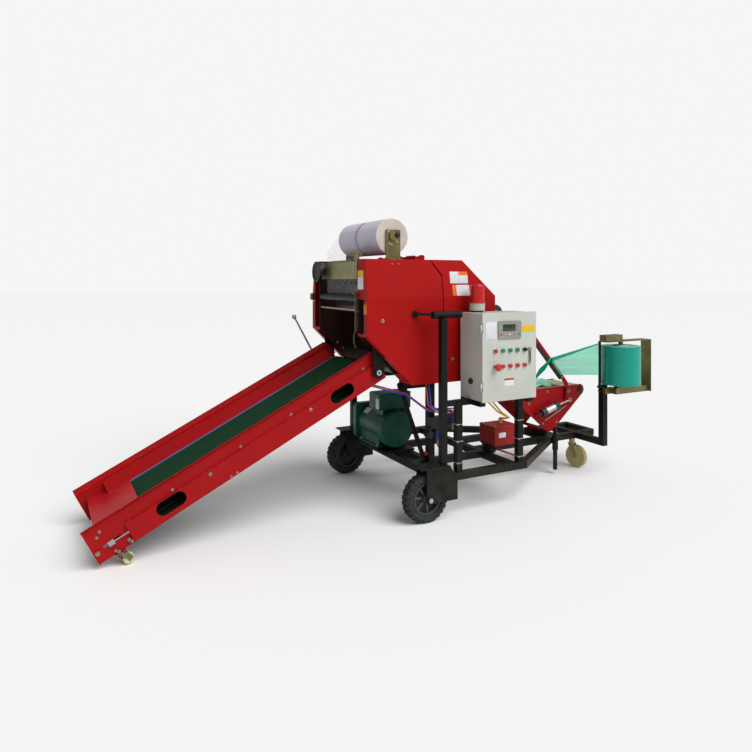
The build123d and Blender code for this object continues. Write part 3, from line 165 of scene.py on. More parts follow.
def make_world():
    """Weak even light; the camera and whatever shows through film see a pale backdrop."""
    world = bpy.data.worlds.new("studio")
    scene.world = world
    world.use_nodes = True
    tree = world.node_tree
    background = tree.nodes["Background"]
    background.inputs["Color"].default_value = (1, 1, 1, 1)
    background.inputs["Strength"].default_value = SKY_STRENGTH
    seen = tree.nodes.new("ShaderNodeBackground")
    seen.inputs["Color"].default_value = (BACKDROP_GREY, BACKDROP_GREY, BACKDROP_GREY, 1)
    path = tree.nodes.new("ShaderNodeLightPath")
    either = tree.nodes.new("ShaderNodeMath")
    either.operation = "MAXIMUM"
    mix = tree.nodes.new("ShaderNodeMixShader")
    for output, socket in ((path.outputs["Is Camera Ray"], either.inputs[0]),
                           (path.outputs["Is Transmission Ray"], either.inputs[1]),
                           (either.outputs[0], mix.inputs[0]), (background.outputs[0], mix.inputs[1]),
                           (seen.outputs[0], mix.inputs[2]),
                           (mix.outputs[0], tree.nodes["World Output"].inputs["Surface"])):
        tree.links.new(output, socket)


def make_sun():
    data = bpy.data.lights.new("soft_sun", "SUN")
    data.energy = SUN_STRENGTH
    data.angle = SUN_SPREAD
    sun = bpy.data.objects.new("soft_sun", data)
    sun.rotation_euler = SUN_FROM.to_track_quat("Z", "Y").to_euler()
    scene.collection.objects.link(sun)


make_camera()
make_stage()
make_world()
make_sun()


# Looks: finishes built from nodes on object coordinates
class Look:
    def __init__(self, name, slot, colour, roughness, metallic=0.0, specular=0.5, alpha=1.0):
        self.material = bpy.data.materials.new(name)
        self.material.use_nodes = True
        self.material.diffuse_color = (*colour, 1)
        self.slot = slot
        self.tree = self.material.node_tree
        self.shader = self.tree.nodes["Principled BSDF"]
        values = {"Base Color": (*colour, 1), "Roughness": roughness, "Metallic": metallic,
                  "Specular IOR Level": specular, "Alpha": alpha}
        for socket, value in values.items():
            self.shader.inputs[socket].default_value = value
        self.object = self.tree.nodes.new("ShaderNodeTexCoord").outputs["Object"]
        self.normal = None

    def join(self, output, socket):
        self.tree.links.new(output, self.shader.inputs[socket])

    def dye(self, output):
        self.join(output, "Base Color")

    def node(self, kind, feeds=(), **values):
        """New node: its settings, and an output, number, vector or colour for each named socket."""
        made = self.tree.nodes.new("ShaderNode" + kind)
        for key, value in values.items():
            setattr(made, key, value)
        for socket, value in dict(feeds).items():
            if isinstance(value, bpy.types.NodeSocket):
                self.tree.links.new(value, made.inputs[socket])
            else:
                made.inputs[socket].default_value = value
        return made

    def noise(self, scale, detail=3.0, stretch=(1, 1, 1)):
        mapping = self.node("Mapping", {"Scale": stretch, "Vector": self.object})
        feeds = {"Scale": scale, "Detail": detail, "Vector": mapping.outputs["Vector"]}
        return self.node("TexNoise", feeds).outputs["Fac"]

    def wave(self, direction, scale, distortion=0.0):
        feeds = {"Scale": scale, "Distortion": distortion, "Vector": self.object}
        return self.node("TexWave", feeds, bands_direction=direction).outputs["Fac"]

    def span(self, value, low, high, to_low=0.0, to_high=1.0):
        """Stretch the part of a value between low and high over another range."""
        feeds = {"Value": value, "From Min": low, "From Max": high, "To Min": to_low, "To Max": to_high}
        return self.node("MapRange", feeds).outputs["Result"]

    def cloud(self, scale, detail, low, high, to_low=0.0, to_high=1.0, stretch=(1, 1, 1)):
        """Noise of a scale and detail, stretched over a range."""
        return self.span(self.noise(scale, detail, stretch), low, high, to_low, to_high)

    def above(self, value, limit, soft=0.001):
        return self.span(value, limit, limit + soft)

    def below(self, value, limit, soft=0.001):
        return self.span(value, limit + soft, limit)

    def dot(self, first, second):
        return self.node("VectorMath", {0: first, 1: second}, operation="DOT_PRODUCT").outputs["Value"]

    def along(self, direction, start=(0, 0, 0)):
        """Distance in metres along a direction from a point of the row frame."""
        return self.maths("SUBTRACT", self.dot(self.object, direction), Vector(direction).dot(Vector(start)))

    def maths(self, operation, first, second=0.0):
        return self.node("Math", {0: first, 1: second}, operation=operation).outputs[0]

    def times(self, first, second):
        return self.maths("MULTIPLY", first, second)

    def blend(self, factor, first, second):
        """Mix of two colours, each a tuple or an output."""
        first, second = ((*value, 1) if isinstance(value, tuple) else value for value in (first, second))
        return self.node("Mix", {0: factor, 6: first, 7: second}, data_type="RGBA").outputs[2]

    def bump(self, height, strength, distance=0.001):
        feeds = {"Strength": strength, "Distance": distance, "Height": height}
        if self.normal is not None:
            feeds["Normal"] = self.normal
        self.normal = self.node("Bump", feeds).outputs["Normal"]
        self.join(self.normal, "Normal")

    def rounded(self, radius):
        """Soft light along the folded and welded edges."""
        self.normal = self.node("Bevel", {"Radius": radius}, samples=4).outputs["Normal"]
        self.join(self.normal, "Normal")
        return self.normal

    def edge_wear_and_highlight(self, bevel_normal):
        """Factor that is high along the outer edges of a solid: it masks both the edge chips and the painted
        edge highlight.
        """
        geometry = self.node("NewGeometry")
        return self.span(self.dot(bevel_normal, geometry.outputs["Normal"]), 0.998, 0.93)


def scaled(colour, factor):
    return tuple(min(1.0, channel * factor) for channel in colour)


DUST = (0.26, 0.23, 0.18)
BARE = (0.30, 0.28, 0.26)
DARK = (0.014, 0.014, 0.014)
UP = (0, 0, 1)
FINE_STEP = 0.0005


def paint(name, slot, colour, roughness=0.45, specular=0.2, dust=0.0, chips=0.5, grain=0.05, edge=0.003,
          painted_edge_highlight=1.35):
    """Enamel: slow colour drift, fine scratches, painted highlight along the edges, edge chips and dust near
    the floor.
    """
    look = Look(name, slot, colour, roughness, specular=specular)
    drift = look.cloud(2.5, 4, 0.3, 0.7)
    base = look.blend(drift, scaled(colour, 0.88), scaled(colour, 1.12))
    scratch = look.cloud(38, 6, 0.68, 0.76, 0.0, 0.3, stretch=(0.12, 1.2, 2.0))
    base = look.blend(scratch, base, scaled(colour, 1.5))
    edge_wear_and_highlight = look.edge_wear_and_highlight(look.rounded(edge))
    # Painted highlight: the outer edges are lightened as if they catch the light.
    base = look.blend(look.times(edge_wear_and_highlight, 0.6), base, scaled(colour, painted_edge_highlight))
    chip = look.times(edge_wear_and_highlight, look.cloud(45, 5, 0.55, 0.68, 0.0, chips))
    base = look.blend(chip, base, BARE)
    if dust:
        near_floor = look.span(look.along(UP), 0.42, 0.02, 0.0, dust)
        base = look.blend(look.times(near_floor, look.cloud(14, 6, 0.35, 0.7)), base, DUST)
    look.dye(base)
    look.join(look.cloud(9, 5, 0.25, 0.75, roughness - 0.07, roughness + 0.12), "Roughness")
    look.bump(look.noise(320, 2), grain, 0.0006)
    look.bump(look.noise(5, 2), grain * 2, 0.004)
    return look


def metal(name, slot, colour, roughness=0.32, tint=None, brushed=(1, 1, 1), grime=0.3):
    """Bare or plated metal with brushing, clouded plating and grime."""
    look = Look(name, slot, colour, roughness, 0.85)
    base = look.blend(look.cloud(14, 4, 0.3, 0.7), scaled(colour, 0.75), scaled(colour, 1.15))
    if tint:
        base = look.blend(look.cloud(22, 3, 0.42, 0.68, 0.0, 0.8), base, tint)
    base = look.blend(look.cloud(60, 6, 0.56, 0.75, 0.0, grime), base, scaled(colour, 0.22))
    look.dye(base)
    look.join(look.cloud(40, 4, 0.3, 0.7, roughness - 0.1, roughness + 0.14, brushed), "Roughness")
    look.rounded(0.0015)
    look.bump(look.noise(150, 3, brushed), 0.12, 0.0005)
    return look


def plastic(name, slot, colour, roughness=0.45, grain=0.08, dust=0.12, specular=0.3):
    """Moulded plastic or rubber with a fine grain and specks of dust."""
    look = Look(name, slot, colour, roughness, specular=specular)
    base = look.blend(look.cloud(8, 4, 0.3, 0.7), scaled(colour, 0.85), scaled(colour, 1.12))
    base = look.blend(look.cloud(30, 6, 0.58, 0.82, 0.0, dust), base, DUST)
    look.dye(base)
    look.join(look.cloud(25, 3, 0.3, 0.7, roughness - 0.07, roughness + 0.1), "Roughness")
    look.rounded(0.001)
    look.bump(look.noise(500, 2), grain, 0.0004)
    return look


def printed(name, colour, second, mottle_scale):
    """Blank sticker: even ground with a soft mottle."""
    look = Look(name, "cover_red", colour, 0.4, specular=0.3)
    mottle = look.cloud(mottle_scale, 3, 0.42, 0.62, 0.0, 0.35)
    look.dye(look.blend(mottle, colour, second))
    look.bump(look.noise(60, 2), 0.1, 0.0005)
    return look


def rubber_tyre():
    """Dusty black rubber."""
    look = Look("tyre_rubber", "tyre_black", (0.021, 0.026, 0.023), 0.75, specular=0.25)
    base = look.blend(look.cloud(18, 5, 0.35, 0.7), (0.014, 0.018, 0.016), (0.030, 0.036, 0.032))
    dusty = look.cloud(70, 6, 0.52, 0.74, 0.0, 0.35)
    look.dye(look.blend(dusty, base, (0.11, 0.11, 0.09)))
    look.rounded(0.0015)
    look.bump(look.noise(260, 4), 0.25, 0.0008)
    return look


def ribbed_belt():
    """Belting with fine ribs along it, darker grooves between them as painted shade, and rubbed tracks."""
    look = Look("belt_green", "belt_green", (0.008, 0.042, 0.019), 0.8, specular=0.1)
    ribs = look.wave("Y", 42)
    # Painted shade: the grooves between the ribs are darker, the crests lighter.
    base = look.blend(look.span(ribs, 0.2, 0.9), (0.003, 0.024, 0.009), (0.010, 0.062, 0.026))
    rubbed = look.cloud(9, 5, 0.45, 0.7, 0.0, 0.3, stretch=(0.25, 6, 1))
    look.dye(look.blend(rubbed, base, (0.020, 0.075, 0.036)))
    look.bump(ribs, 0.5, 0.0012)
    return look


def stretch_film():
    """Wound stretch film: deep green side with faint streaks; faces turning up are painted paler, the film's
    cut edges together with painted light from above.
    """
    look = Look("film_wound", "film_green", (0.003, 0.30, 0.215), 0.26, specular=0.3)
    streak = look.noise(7, 5, (1, 1, 16))
    side = look.blend(look.span(streak, 0.3, 0.7), (0.001, 0.27, 0.20), (0.002, 0.32, 0.235))
    # Painted light: faces that turn up get a paler green, as if lit from above.
    geometry = look.node("NewGeometry")
    top = look.span(look.dot(geometry.outputs["Normal"], UP), 0.6, 0.9)
    look.dye(look.blend(top, side, (0.10, 0.56, 0.40)))
    look.join(look.span(streak, 0.3, 0.7, 0.24, 0.36), "Roughness")
    look.rounded(0.006)
    look.bump(streak, 0.03, 0.0008)
    return look


# Rings round the net roll: middle across the machine and half width in millimetres, colour
NET_RINGS = ((14, 9, (0.06, 0.24, 0.70)), (-4, 8, (0.62, 0.14, 0.14)))


def net_cloth():
    """White knitted net with a blue and a red ring near the middle of the roll."""
    look = Look("net_white", "net_white", (0.61, 0.58, 0.68), 0.85, specular=0.1)
    knots = look.times(look.wave("Y", 150, 0.4), look.wave("DIAGONAL", 90, 0.6))
    base = look.blend(look.span(knots, 0.1, 0.8), (0.62, 0.60, 0.69), (0.84, 0.82, 0.90))
    base = look.blend(look.cloud(7, 4, 0.35, 0.7, 0.0, 0.35, stretch=(1, 3, 1)), base, (0.68, 0.65, 0.73))
    for middle, half, colour in NET_RINGS:
        away = look.maths("ABSOLUTE", look.along((0, 1, 0), at(0, middle, 0)))
        base = look.blend(look.span(away, half / 1000, half / 1400, 0.0, 0.85), base, colour)
    look.dye(base)
    look.bump(knots, 0.6, 0.0012)
    return look


def net_threads():
    """Open net: fine upright threads with zigzag ties, see-through between them."""
    look = Look("net_thread", "net_white", (0.66, 0.64, 0.72), 0.7, specular=0.1)
    upright = look.span(look.wave("Y", 26, 1.2), 0.86, 0.96)
    ties = look.span(look.wave("DIAGONAL", 17, 5.0), 0.90, 0.98)
    look.join(look.span(look.maths("MAXIMUM", upright, ties), 0, 1, 0.04, 0.5), "Alpha")
    return look


# Heights, and places along a node, where its colour changes, in metres
FEED_ROD_TOP = 1.13
BEACON_FOOT_TOP = 1.1175
BEACON_DRUM_TOP = 1.1595
BARREL_CAPS = (0.0555, 0.1335)
BOWL_SIDES = (0.2135, 0.2505)
BOWL_TOP = 0.4335
BOWL_FOOT = 0.3715
VALVE_BLOCK_SIDE = 0.3115
COIL_FOOT = 0.455


def feed_look():
    """Black rubber roller above, with a cream plated guide rod below it."""
    look = plastic("feed_roller", "black_plastic", DARK, 0.45)
    rod = look.below(look.along(UP), FEED_ROD_TOP, FINE_STEP)
    look.dye(look.blend(rod, DARK, (0.40, 0.34, 0.20)))
    return look


def beacon_look():
    """Red ribbed lens, painted darker and lighter across its ribs as shade and highlight, above a cream drum
    and a dark foot.
    """
    look = Look("beacon_lens", "lens_red", (0.48, 0.007, 0.006), 0.22, specular=0.35)
    height = look.along(UP)
    ribs = look.wave("DIAGONAL", 95)
    # Painted shade and highlight: the red runs darker and lighter across the ribs.
    red = look.blend(ribs, (0.40, 0.006, 0.005), (0.56, 0.010, 0.008))
    base = look.blend(look.above(height, BEACON_DRUM_TOP), (0.47, 0.47, 0.38), red)
    base = look.blend(look.above(height, BEACON_FOOT_TOP), (0.03, 0.03, 0.03), base)
    look.dye(base)
    look.rounded(0.004)
    look.bump(ribs, 0.15, 0.001)
    return look


def barrel_look():
    """Bright tube between the cylinder's black end caps."""
    look = Look("cylinder_tube", "aluminium", (0.62, 0.64, 0.66), 0.28)
    direction = (BARREL_HIGH - BARREL_LOW).normalized()
    run = look.along(tuple(direction), at(TABLE_X + BARREL_LOW.x, 0, BARREL_LOW.z))
    cap = look.maths("MAXIMUM", look.below(run, BARREL_CAPS[0]), look.above(run, BARREL_CAPS[1]))
    brushed = look.blend(look.noise(60, 3, (0.1, 4, 4)), (0.50, 0.52, 0.54), (0.74, 0.76, 0.78))
    look.dye(look.blend(cap, brushed, (0.02, 0.02, 0.02)))
    look.join(look.span(cap, 0, 1, 0.9, 0.0), "Metallic")
    look.join(look.span(cap, 0, 1, 0.28, 0.5), "Roughness")
    look.rounded(0.002)
    return look


def air_unit_look():
    """Black regulator with a blue filter bowl; grey valve block with blue coils."""
    black = (0.016, 0.016, 0.016)
    look = plastic("air_unit", "black_plastic", black, 0.4)
    height = look.along(UP)
    across = look.along((1, 0, 0), at(0, 0, 0))
    bowl = look.times(look.below(height, BOWL_TOP, FINE_STEP), look.above(across, BOWL_SIDES[0], FINE_STEP))
    bowl = look.times(bowl, look.below(across, BOWL_SIDES[1], FINE_STEP))
    foot = look.times(bowl, look.below(height, BOWL_FOOT, FINE_STEP))
    block = look.above(across, VALVE_BLOCK_SIDE)
    coil = look.times(block, look.above(height, COIL_FOOT))
    base = look.blend(bowl, black, (0.02, 0.08, 0.33))
    base = look.blend(foot, base, (0.36, 0.30, 0.20))
    base = look.blend(block, base, (0.22, 0.22, 0.20))
    look.dye(look.blend(coil, base, (0.015, 0.04, 0.20)))
    return look


def web_look(name, colour, alpha, streak_scale):
    """Thin stretched film with slanting streaks."""
    look = Look(name, "film_web_green", colour, 0.3, alpha=alpha)
    streak = look.noise(streak_scale, 4, (0.5, 0.5, 6))
    look.dye(look.blend(look.span(streak, 0.3, 0.7), scaled(colour, 0.82), scaled(colour, 1.12)))
    look.bump(streak, 0.3, 0.002)
    return look


COVER = paint("cover_red", "cover_red", (0.335, 0.005, 0.004), 0.42, 0.10)
CONVEYOR_RED = paint("conveyor_red", "conveyor_red", (0.315, 0.0045, 0.006), 0.40, 0.12, painted_edge_highlight=2.4)
# Painted highlight: the infeed plate takes a brighter copy of the conveyor red, standing in for its glare.
INFEED_RED_HIGHLIGHT = paint("infeed_red_highlight", "conveyor_red", (0.42, 0.008, 0.012), 0.30, 0.45, painted_edge_highlight=1.6)
FRAME = paint("frame_black", "frame_black", (0.0055, 0.0068, 0.005), 0.45, 0.16, dust=0.10, chips=0.25,
              painted_edge_highlight=3.5)
MOTOR = paint("motor_green", "motor_green", (0.008, 0.078, 0.050), 0.36, 0.25, grain=0.12, painted_edge_highlight=1.8)
CABINET = paint("cabinet_grey", "cabinet_grey", (0.50, 0.52, 0.47), 0.55, 0.25, chips=0.05, grain=0.18,
                painted_edge_highlight=1.1)
BOX_RED = paint("box_red", "box_red", (0.26, 0.010, 0.008), 0.42, 0.25)
TRAY = paint("tray_dark", "frame_black", (0.020, 0.026, 0.018), 0.6, 0.2)
# Painted shade: the chamber walls get a near-black red, the shade inside the chamber.
CHAMBER_SHADE = paint("chamber_dark", "chamber_dark", (0.030, 0.010, 0.008), 0.7, 0.15, chips=0.2)
STEEL = metal("turned_steel", "steel", (0.50, 0.50, 0.49), 0.32, brushed=(1, 6, 1))
ROLLER = metal("roller_steel", "roller_steel", (0.16, 0.15, 0.14), 0.5, grime=0.5)
ZINC = metal("yellow_zinc", "zinc", (0.35, 0.30, 0.14), 0.38, tint=(0.24, 0.27, 0.17))
ZINC_DARK = metal("olive_zinc", "zinc", (0.24, 0.19, 0.07), 0.36, tint=(0.16, 0.17, 0.09))
TRIM = metal("brown_steel", "frame_black", (0.13, 0.10, 0.07), 0.5)
BOLT = metal("bolt_zinc", "steel", (0.30, 0.29, 0.22), 0.34)
BRASS = metal("brass", "steel", (0.50, 0.34, 0.12), 0.3)
HUB = paint("hub_grey", "hub_grey", (0.045, 0.053, 0.053), 0.45, 0.3, grain=0.2, painted_edge_highlight=1.8)
# Painted highlight: the spokes get a lighter copy of the hub's grey paint.
SPOKE_HIGHLIGHT = paint("spoke_grey_highlight", "hub_grey", (0.070, 0.082, 0.084), 0.42, 0.3, grain=0.2, painted_edge_highlight=1.6)
BLACK = plastic("black_plastic", "black_plastic", DARK, 0.42)
CREAM = plastic("caster_cream", "caster_cream", (0.56, 0.53, 0.31), 0.4)
AMBER = plastic("caster_amber", "caster_gold", (0.44, 0.36, 0.15), 0.35)
CREAM_BELT = plastic("wrap_belt", "belt_cream", (0.50, 0.44, 0.29), 0.6, 0.3)
CAP_RED = plastic("button_red", "controls", (0.50, 0.022, 0.018), 0.35, 0.03, 0.0)
CAP_GREEN = plastic("button_green", "controls", (0.015, 0.22, 0.11), 0.35, 0.03, 0.0)
PANEL_GREY = plastic("panel_grey", "controls", (0.26, 0.26, 0.23), 0.45, 0.05, 0.0)
SCREEN = plastic("screen_green", "controls", (0.022, 0.034, 0.012), 0.15, 0.0, 0.0, 0.6)
TIE_WHITE = plastic("tie_white", "controls", (0.50, 0.50, 0.48), 0.4, 0.0, 0.0)
SEAL = plastic("seal_violet", "belt_green", (0.10, 0.11, 0.30), 0.6)
HOSE_RED = plastic("hose_red", "hose_red", (0.80, 0.065, 0.030), 0.3, 0.0, 0.0, 0.5)
HOSE_BLUE = plastic("hose_blue", "hose_blue", (0.010, 0.085, 0.60), 0.3, 0.0, 0.0, 0.5)
CABLE_YELLOW = plastic("cable_yellow", "cable_yellow", (0.70, 0.42, 0.015), 0.4, 0.02, 0.05)
CORE = plastic("paper_core", "net_white", (0.58, 0.51, 0.45), 0.8, 0.2)
LABEL_WHITE = printed("label_white", (0.66, 0.66, 0.68), (0.50, 0.50, 0.54), 26)
LABEL_YELLOW = printed("label_yellow", (0.72, 0.46, 0.015), (0.60, 0.36, 0.012), 20)
LABEL_ORANGE = printed("label_orange", (0.72, 0.15, 0.015), (0.62, 0.12, 0.012), 20)
LABEL_RED = printed("label_red", (0.50, 0.03, 0.02), (0.42, 0.025, 0.018), 20)
BEACON = beacon_look()
BARREL = barrel_look()
AIR_UNIT = air_unit_look()
FEED = feed_look()
TYRE = rubber_tyre()
BELT = ribbed_belt()
FILM = stretch_film()
NET = net_cloth()
WEB = web_look("film_web", (0.07, 0.92, 0.55), 0.72, 9)
WEB_DARK = web_look("film_gathered", (0.004, 0.44, 0.26), 1.0, 30)
WEB_PALE = web_look("film_laid", (0.30, 0.72, 0.52), 0.97, 12)
NET_THREAD = net_threads()

NODE_LOOKS = {
    COVER: "front_covers top_cover gate_covers gate_panel",
    CHAMBER_SHADE: "chamber_walls gate_walls",
    CONVEYOR_RED: "conveyor_sides tail_foot table_sides cutter_arm",
    INFEED_RED_HIGHLIGHT: "infeed_plate",
    FRAME: "base_frame wheel_forks masts cabinet_stand conveyor_bed table_pedestal "
           "film_post conveyor_hangers jack_leg",
    MOTOR: "drive_motor",
    CABINET: "cabinet_body cabinet_door",
    BOX_RED: "drive_box",
    STEEL: "conveyor_drums cutter_rod mouth_lever",
    ROLLER: "chamber_rollers gate_rollers",
    TRIM: "mouth_trim",
    ZINC: "mouth_channel rear_caster_fork tail_caster_fork_near tail_caster_fork_far",
    ZINC_DARK: "net_brackets film_carriage",
    BARREL: "cutter_barrel",
    HUB: "hub_near hub_far",
    TYRE: "tyre_near tyre_far",
    FEED: "net_feed_rollers",
    BLACK: "hand_wheel table_rollers door_controls",
    AIR_UNIT: "air_unit",
    CREAM: "tail_caster_wheel_near tail_caster_wheel_far",
    AMBER: "rear_caster_wheel",
    CREAM_BELT: "table_belts",
    BELT: "conveyor_belt",
    BEACON: "beacon",
    FILM: "film_roll",
    NET: "net_roll net_web",
    WEB: "film_web",
    HOSE_RED: "air_hoses_red",
    HOSE_BLUE: "air_hoses_blue",
    CABLE_YELLOW: "drive_cables",
}

for node_look, node_names in NODE_LOOKS.items():
    for node_name in node_names.split():
        slots = nodes[node_name].data.materials
        slots.clear()
        slots.append(node_look.material)


# Added pieces: lofted rings gathered in one mesh, drawn in millimetres
def circle(centre, first, second, radius, sides, phase=0.0):
    """Ring of points round a centre in the plane of two unit vectors."""
    angles = [phase + 2 * math.pi * index / sides for index in range(sides)]
    return [centre + (first * math.cos(angle) + second * math.sin(angle)) * radius for angle in angles]


class Piece:
    def __init__(self, matrix=MACHINE):
        self.bm = bmesh.new()
        self.matrix = matrix

    def rows(self, rows, ring=True):
        """Vertices of the rows, joined by quads; a ring closes on its first point."""
        made = [[self.bm.verts.new(point) for point in row] for row in rows]
        for low, high in zip(made, made[1:]):
            self.band(low, high, ring)
        return made

    def band(self, low, high, ring=True):
        count = len(low)
        for index in range(count if ring else count - 1):
            after = (index + 1) % count
            self.bm.faces.new((low[index], low[after], high[after], high[index]))

    def loft(self, rings):
        made = self.rows(rings)
        self.bm.faces.new(list(reversed(made[0])))
        self.bm.faces.new(made[-1])

    def turned(self, place, direction, profile, sides=24):
        """Turning: profile is a list of (radius, height along the direction)."""
        direction = Vector(direction).normalized()
        first = direction.orthogonal().normalized()
        second = direction.cross(first)
        self.loft([circle(Vector(place) + direction * height, first, second, radius, sides)
                   for radius, height in profile])

    def plate(self, centre, u, v, width, height, corner, profile):
        """Rounded rectangle raised along u x v: profile is a list of (inset, height)."""
        u, v = Vector(u).normalized(), Vector(v).normalized()
        normal = u.cross(v)
        rings = []
        for inset, lift in profile:
            half_u, half_v = width / 2 - inset, height / 2 - inset
            round_off = max(0.2, min(corner - inset, half_u, half_v))
            ring = []
            for quarter, (sign_u, sign_v) in enumerate(CORNERS):
                for step in (-1, 0, 1):
                    angle = math.pi / 4 + quarter * math.pi / 2 + step * math.pi / 4
                    a = sign_u * (half_u - round_off) + round_off * math.cos(angle)
                    b = sign_v * (half_v - round_off) + round_off * math.sin(angle)
                    ring.append(Vector(centre) + u * a + v * b + normal * lift)
            rings.append(ring)
        self.loft(rings)

    def block(self, low, high, edge):
        """Box with chamfered edges, standing on its lower face."""
        low, high = Vector(low), Vector(high)
        middle = (low + high) / 2
        size = high - low
        base = Vector((middle.x, middle.y, low.z))
        profile = [(edge, 0), (0, edge), (0, size.z - edge), (edge, size.z)]
        self.plate(base, X, Y, size.x, size.y, edge, profile)

    def tube(self, points, radius, sides=8, closed=False):
        """Round tube along points; a closed one runs back into its first ring."""
        points = [Vector(point) for point in points]
        count = len(points)
        rings = []
        side = None
        for index, point in enumerate(points):
            if closed:
                tangent = points[(index + 1) % count] - points[index - 1]
            else:
                tangent = points[min(index + 1, count - 1)] - points[max(index - 1, 0)]
            tangent.normalize()
            if side is None:
                side = tangent.orthogonal().normalized()
            side = (side - tangent * side.dot(tangent)).normalized()
            rings.append(circle(point, side, tangent.cross(side), radius, sides))
        if closed:
            made = self.rows(rings)
            self.band(made[-1], made[0])
        else:
            self.loft(rings)

    def bolt(self, place, direction, radius):
        """Washer with a chamfered hexagon head."""
        washer = [(radius * 1.5, 0), (radius * 1.5, 1.4), (radius * 1.4, 1.8)]
        head = [(radius, 1.8), (radius, radius * 0.95), (radius * 0.86, radius * 1.15)]
        self.turned(place, direction, washer, 20)
        self.turned(place, direction, head, 6)

    def rivet(self, place, direction, radius):
        dome = [(radius * math.cos(a), radius * 0.55 * math.sin(a)) for a in (0, 0.4, 0.8, 1.2, 1.45)]
        self.turned(place, direction, dome, 14)

    def make(self, name, body, look, sharp=38, slot=None):
        """Finish the mesh, put it in the scene and let it ride on its body."""
        bmesh.ops.recalc_face_normals(self.bm, faces=self.bm.faces)
        mesh = bpy.data.meshes.new(name)
        self.bm.to_mesh(mesh)
        self.bm.free()
        mesh.transform(self.matrix)
        mesh.polygons.foreach_set("use_smooth", [True] * len(mesh.polygons))
        mesh.set_sharp_from_angle(angle=math.radians(sharp))
        obj = bpy.data.objects.new(name, mesh)
        scene.collection.objects.link(obj)
        mesh.materials.append(look.material)
        if body:
            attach(obj, body)
        return obj


def lean_y(z):
    """Half width of the side covers at a height: they lean in above the crease."""
    return COVER_HALF - COVER_LEAN * max(0, z - CREASE_Z) / (COVER_TOP_Z - CREASE_Z)


LEAN_UP = Vector((0, COVER_LEAN, COVER_TOP_Z - CREASE_Z)).normalized()


def turned_piece(name, body, look, places, *shape):
    """One turned shape at each of the places."""
    piece = Piece()
    for place in places:
        piece.turned(place, *shape)
    return piece.make(name, body, look)


def plate_piece(name, body, look, *shape, matrix=MACHINE):
    piece = Piece(matrix)
    piece.plate(*shape)
    return piece.make(name, body, look)


def bolts_piece(name, body, heads):
    """Bolts given as (place, direction, radius)."""
    piece = Piece()
    for head in heads:
        piece.bolt(*head)
    piece.make(name, body, BOLT)


def cloth_piece(name, body, look, rows, sharp=180):
    """Open sheet through rows of points."""
    piece = Piece()
    piece.rows(rows, ring=False)
    return piece.make(name, body, look, sharp)


def sticker(name, body, look, centre, u, v, width, height):
    plate_piece(name, body, look, centre, u, v, width, height, 3, [(0, 0.05), (0, 0.5), (0.6, 0.7)])


# Stickers and reflectors: name, look, place across, height, their own width and height
FRONT_STICKERS = (
    ("front_label_yellow", LABEL_YELLOW, -298, 1325, 68, 34),
    ("front_label_white", LABEL_WHITE, -298, 1273, 68, 66),
    ("reflector_near", LABEL_ORANGE, -354, 1134, 38, 52),
    ("reflector_far", LABEL_ORANGE, 361, 1174, 32, 44),
)
# On the gate: the same with the place along, and how far each lies over the one below
GATE_STICKERS = (
    ("gate_label_upper", LABEL_WHITE, 316, 1304, 123, 68, 0),
    ("gate_label_band", LABEL_ORANGE, 346, 1328, 62, 20, 0.8),
    ("gate_label_lower", LABEL_WHITE, 338, 1231, 90, 62, 0),
    ("gate_label_strip", LABEL_ORANGE, 279, 1231, 26, 62, 0),
)


def dress_covers():
    """Bolts and rivets of the covers and the gate, blank stickers and reflectors."""
    cover_bolt_x, cover_bolt_z = -188, 1070
    gate_bolt_x, gate_bolt_z = 264, 843
    rivet_z = 1378
    fixed = Piece()
    moving = Piece()
    for side in SIDES:
        fixed.bolt((cover_bolt_x, side * COVER_HALF, cover_bolt_z), (0, side, 0), 7)
        moving.bolt((gate_bolt_x, side * COVER_HALF, gate_bolt_z), (0, side, 0), 7)
        outward = Vector((0, side * LEAN_UP.z, LEAN_UP.y))
        for x in (-117, -76):
            fixed.rivet((x, side * lean_y(rivet_z), rivet_z), outward, 4)
    for x, z in ((-158, 900), (-121, 863)):
        fixed.bolt((x, WALL_Y, z), (0, -1, 0), 7)
    fixed.make("cover_bolts", "machine", BOLT)
    moving.make("gate_bolts", "gate", BOLT)
    for name, look, y, z, width, height in FRONT_STICKERS:
        sticker(name, "machine", look, (COVER_FRONT_X - LABEL_GAP, y, z), -Y, Z, width, height)
    for name, look, x, z, width, height, over in GATE_STICKERS:
        place = Vector((x, -lean_y(z) - LABEL_GAP, z)) - Vector((0, over, 0))
        sticker(name, "gate", look, place, X, LEAN_UP, width, height)


def dress_gate():
    """Rubber buffer wheel in a fork on the gate's back panel."""
    panel_back_x, flange_x = 566.2, 572
    fork = Piece()
    for y in (-312, -262):
        fork.plate((BUFFER_X - 33, y, BUFFER_Z), X, Z, 76, 44, 14, [(0, -2), (0, 2)])
    fork.block((panel_back_x, -316, BUFFER_Z - 28), (flange_x, -258, BUFFER_Z + 28), 1)
    fork.bolt((BUFFER_X, -314, BUFFER_Z), (0, -1, 0), 7)
    fork.make("buffer_bracket", "gate", ZINC)
    rubber = [(20, 0), (40, 0), (49, 5), (52, 12), (52, 26), (49, 33), (40, 38), (20, 38)]
    turned_piece("buffer_wheel", "gate", TYRE, [(BUFFER_X, -306, BUFFER_Z)], Y, rubber, 40)


def on_door(along, z, out=0.0):
    """Place on the door's face, from its hinge side."""
    return Vector((DOOR_LEFT + along, DOOR_FACE - out, z))


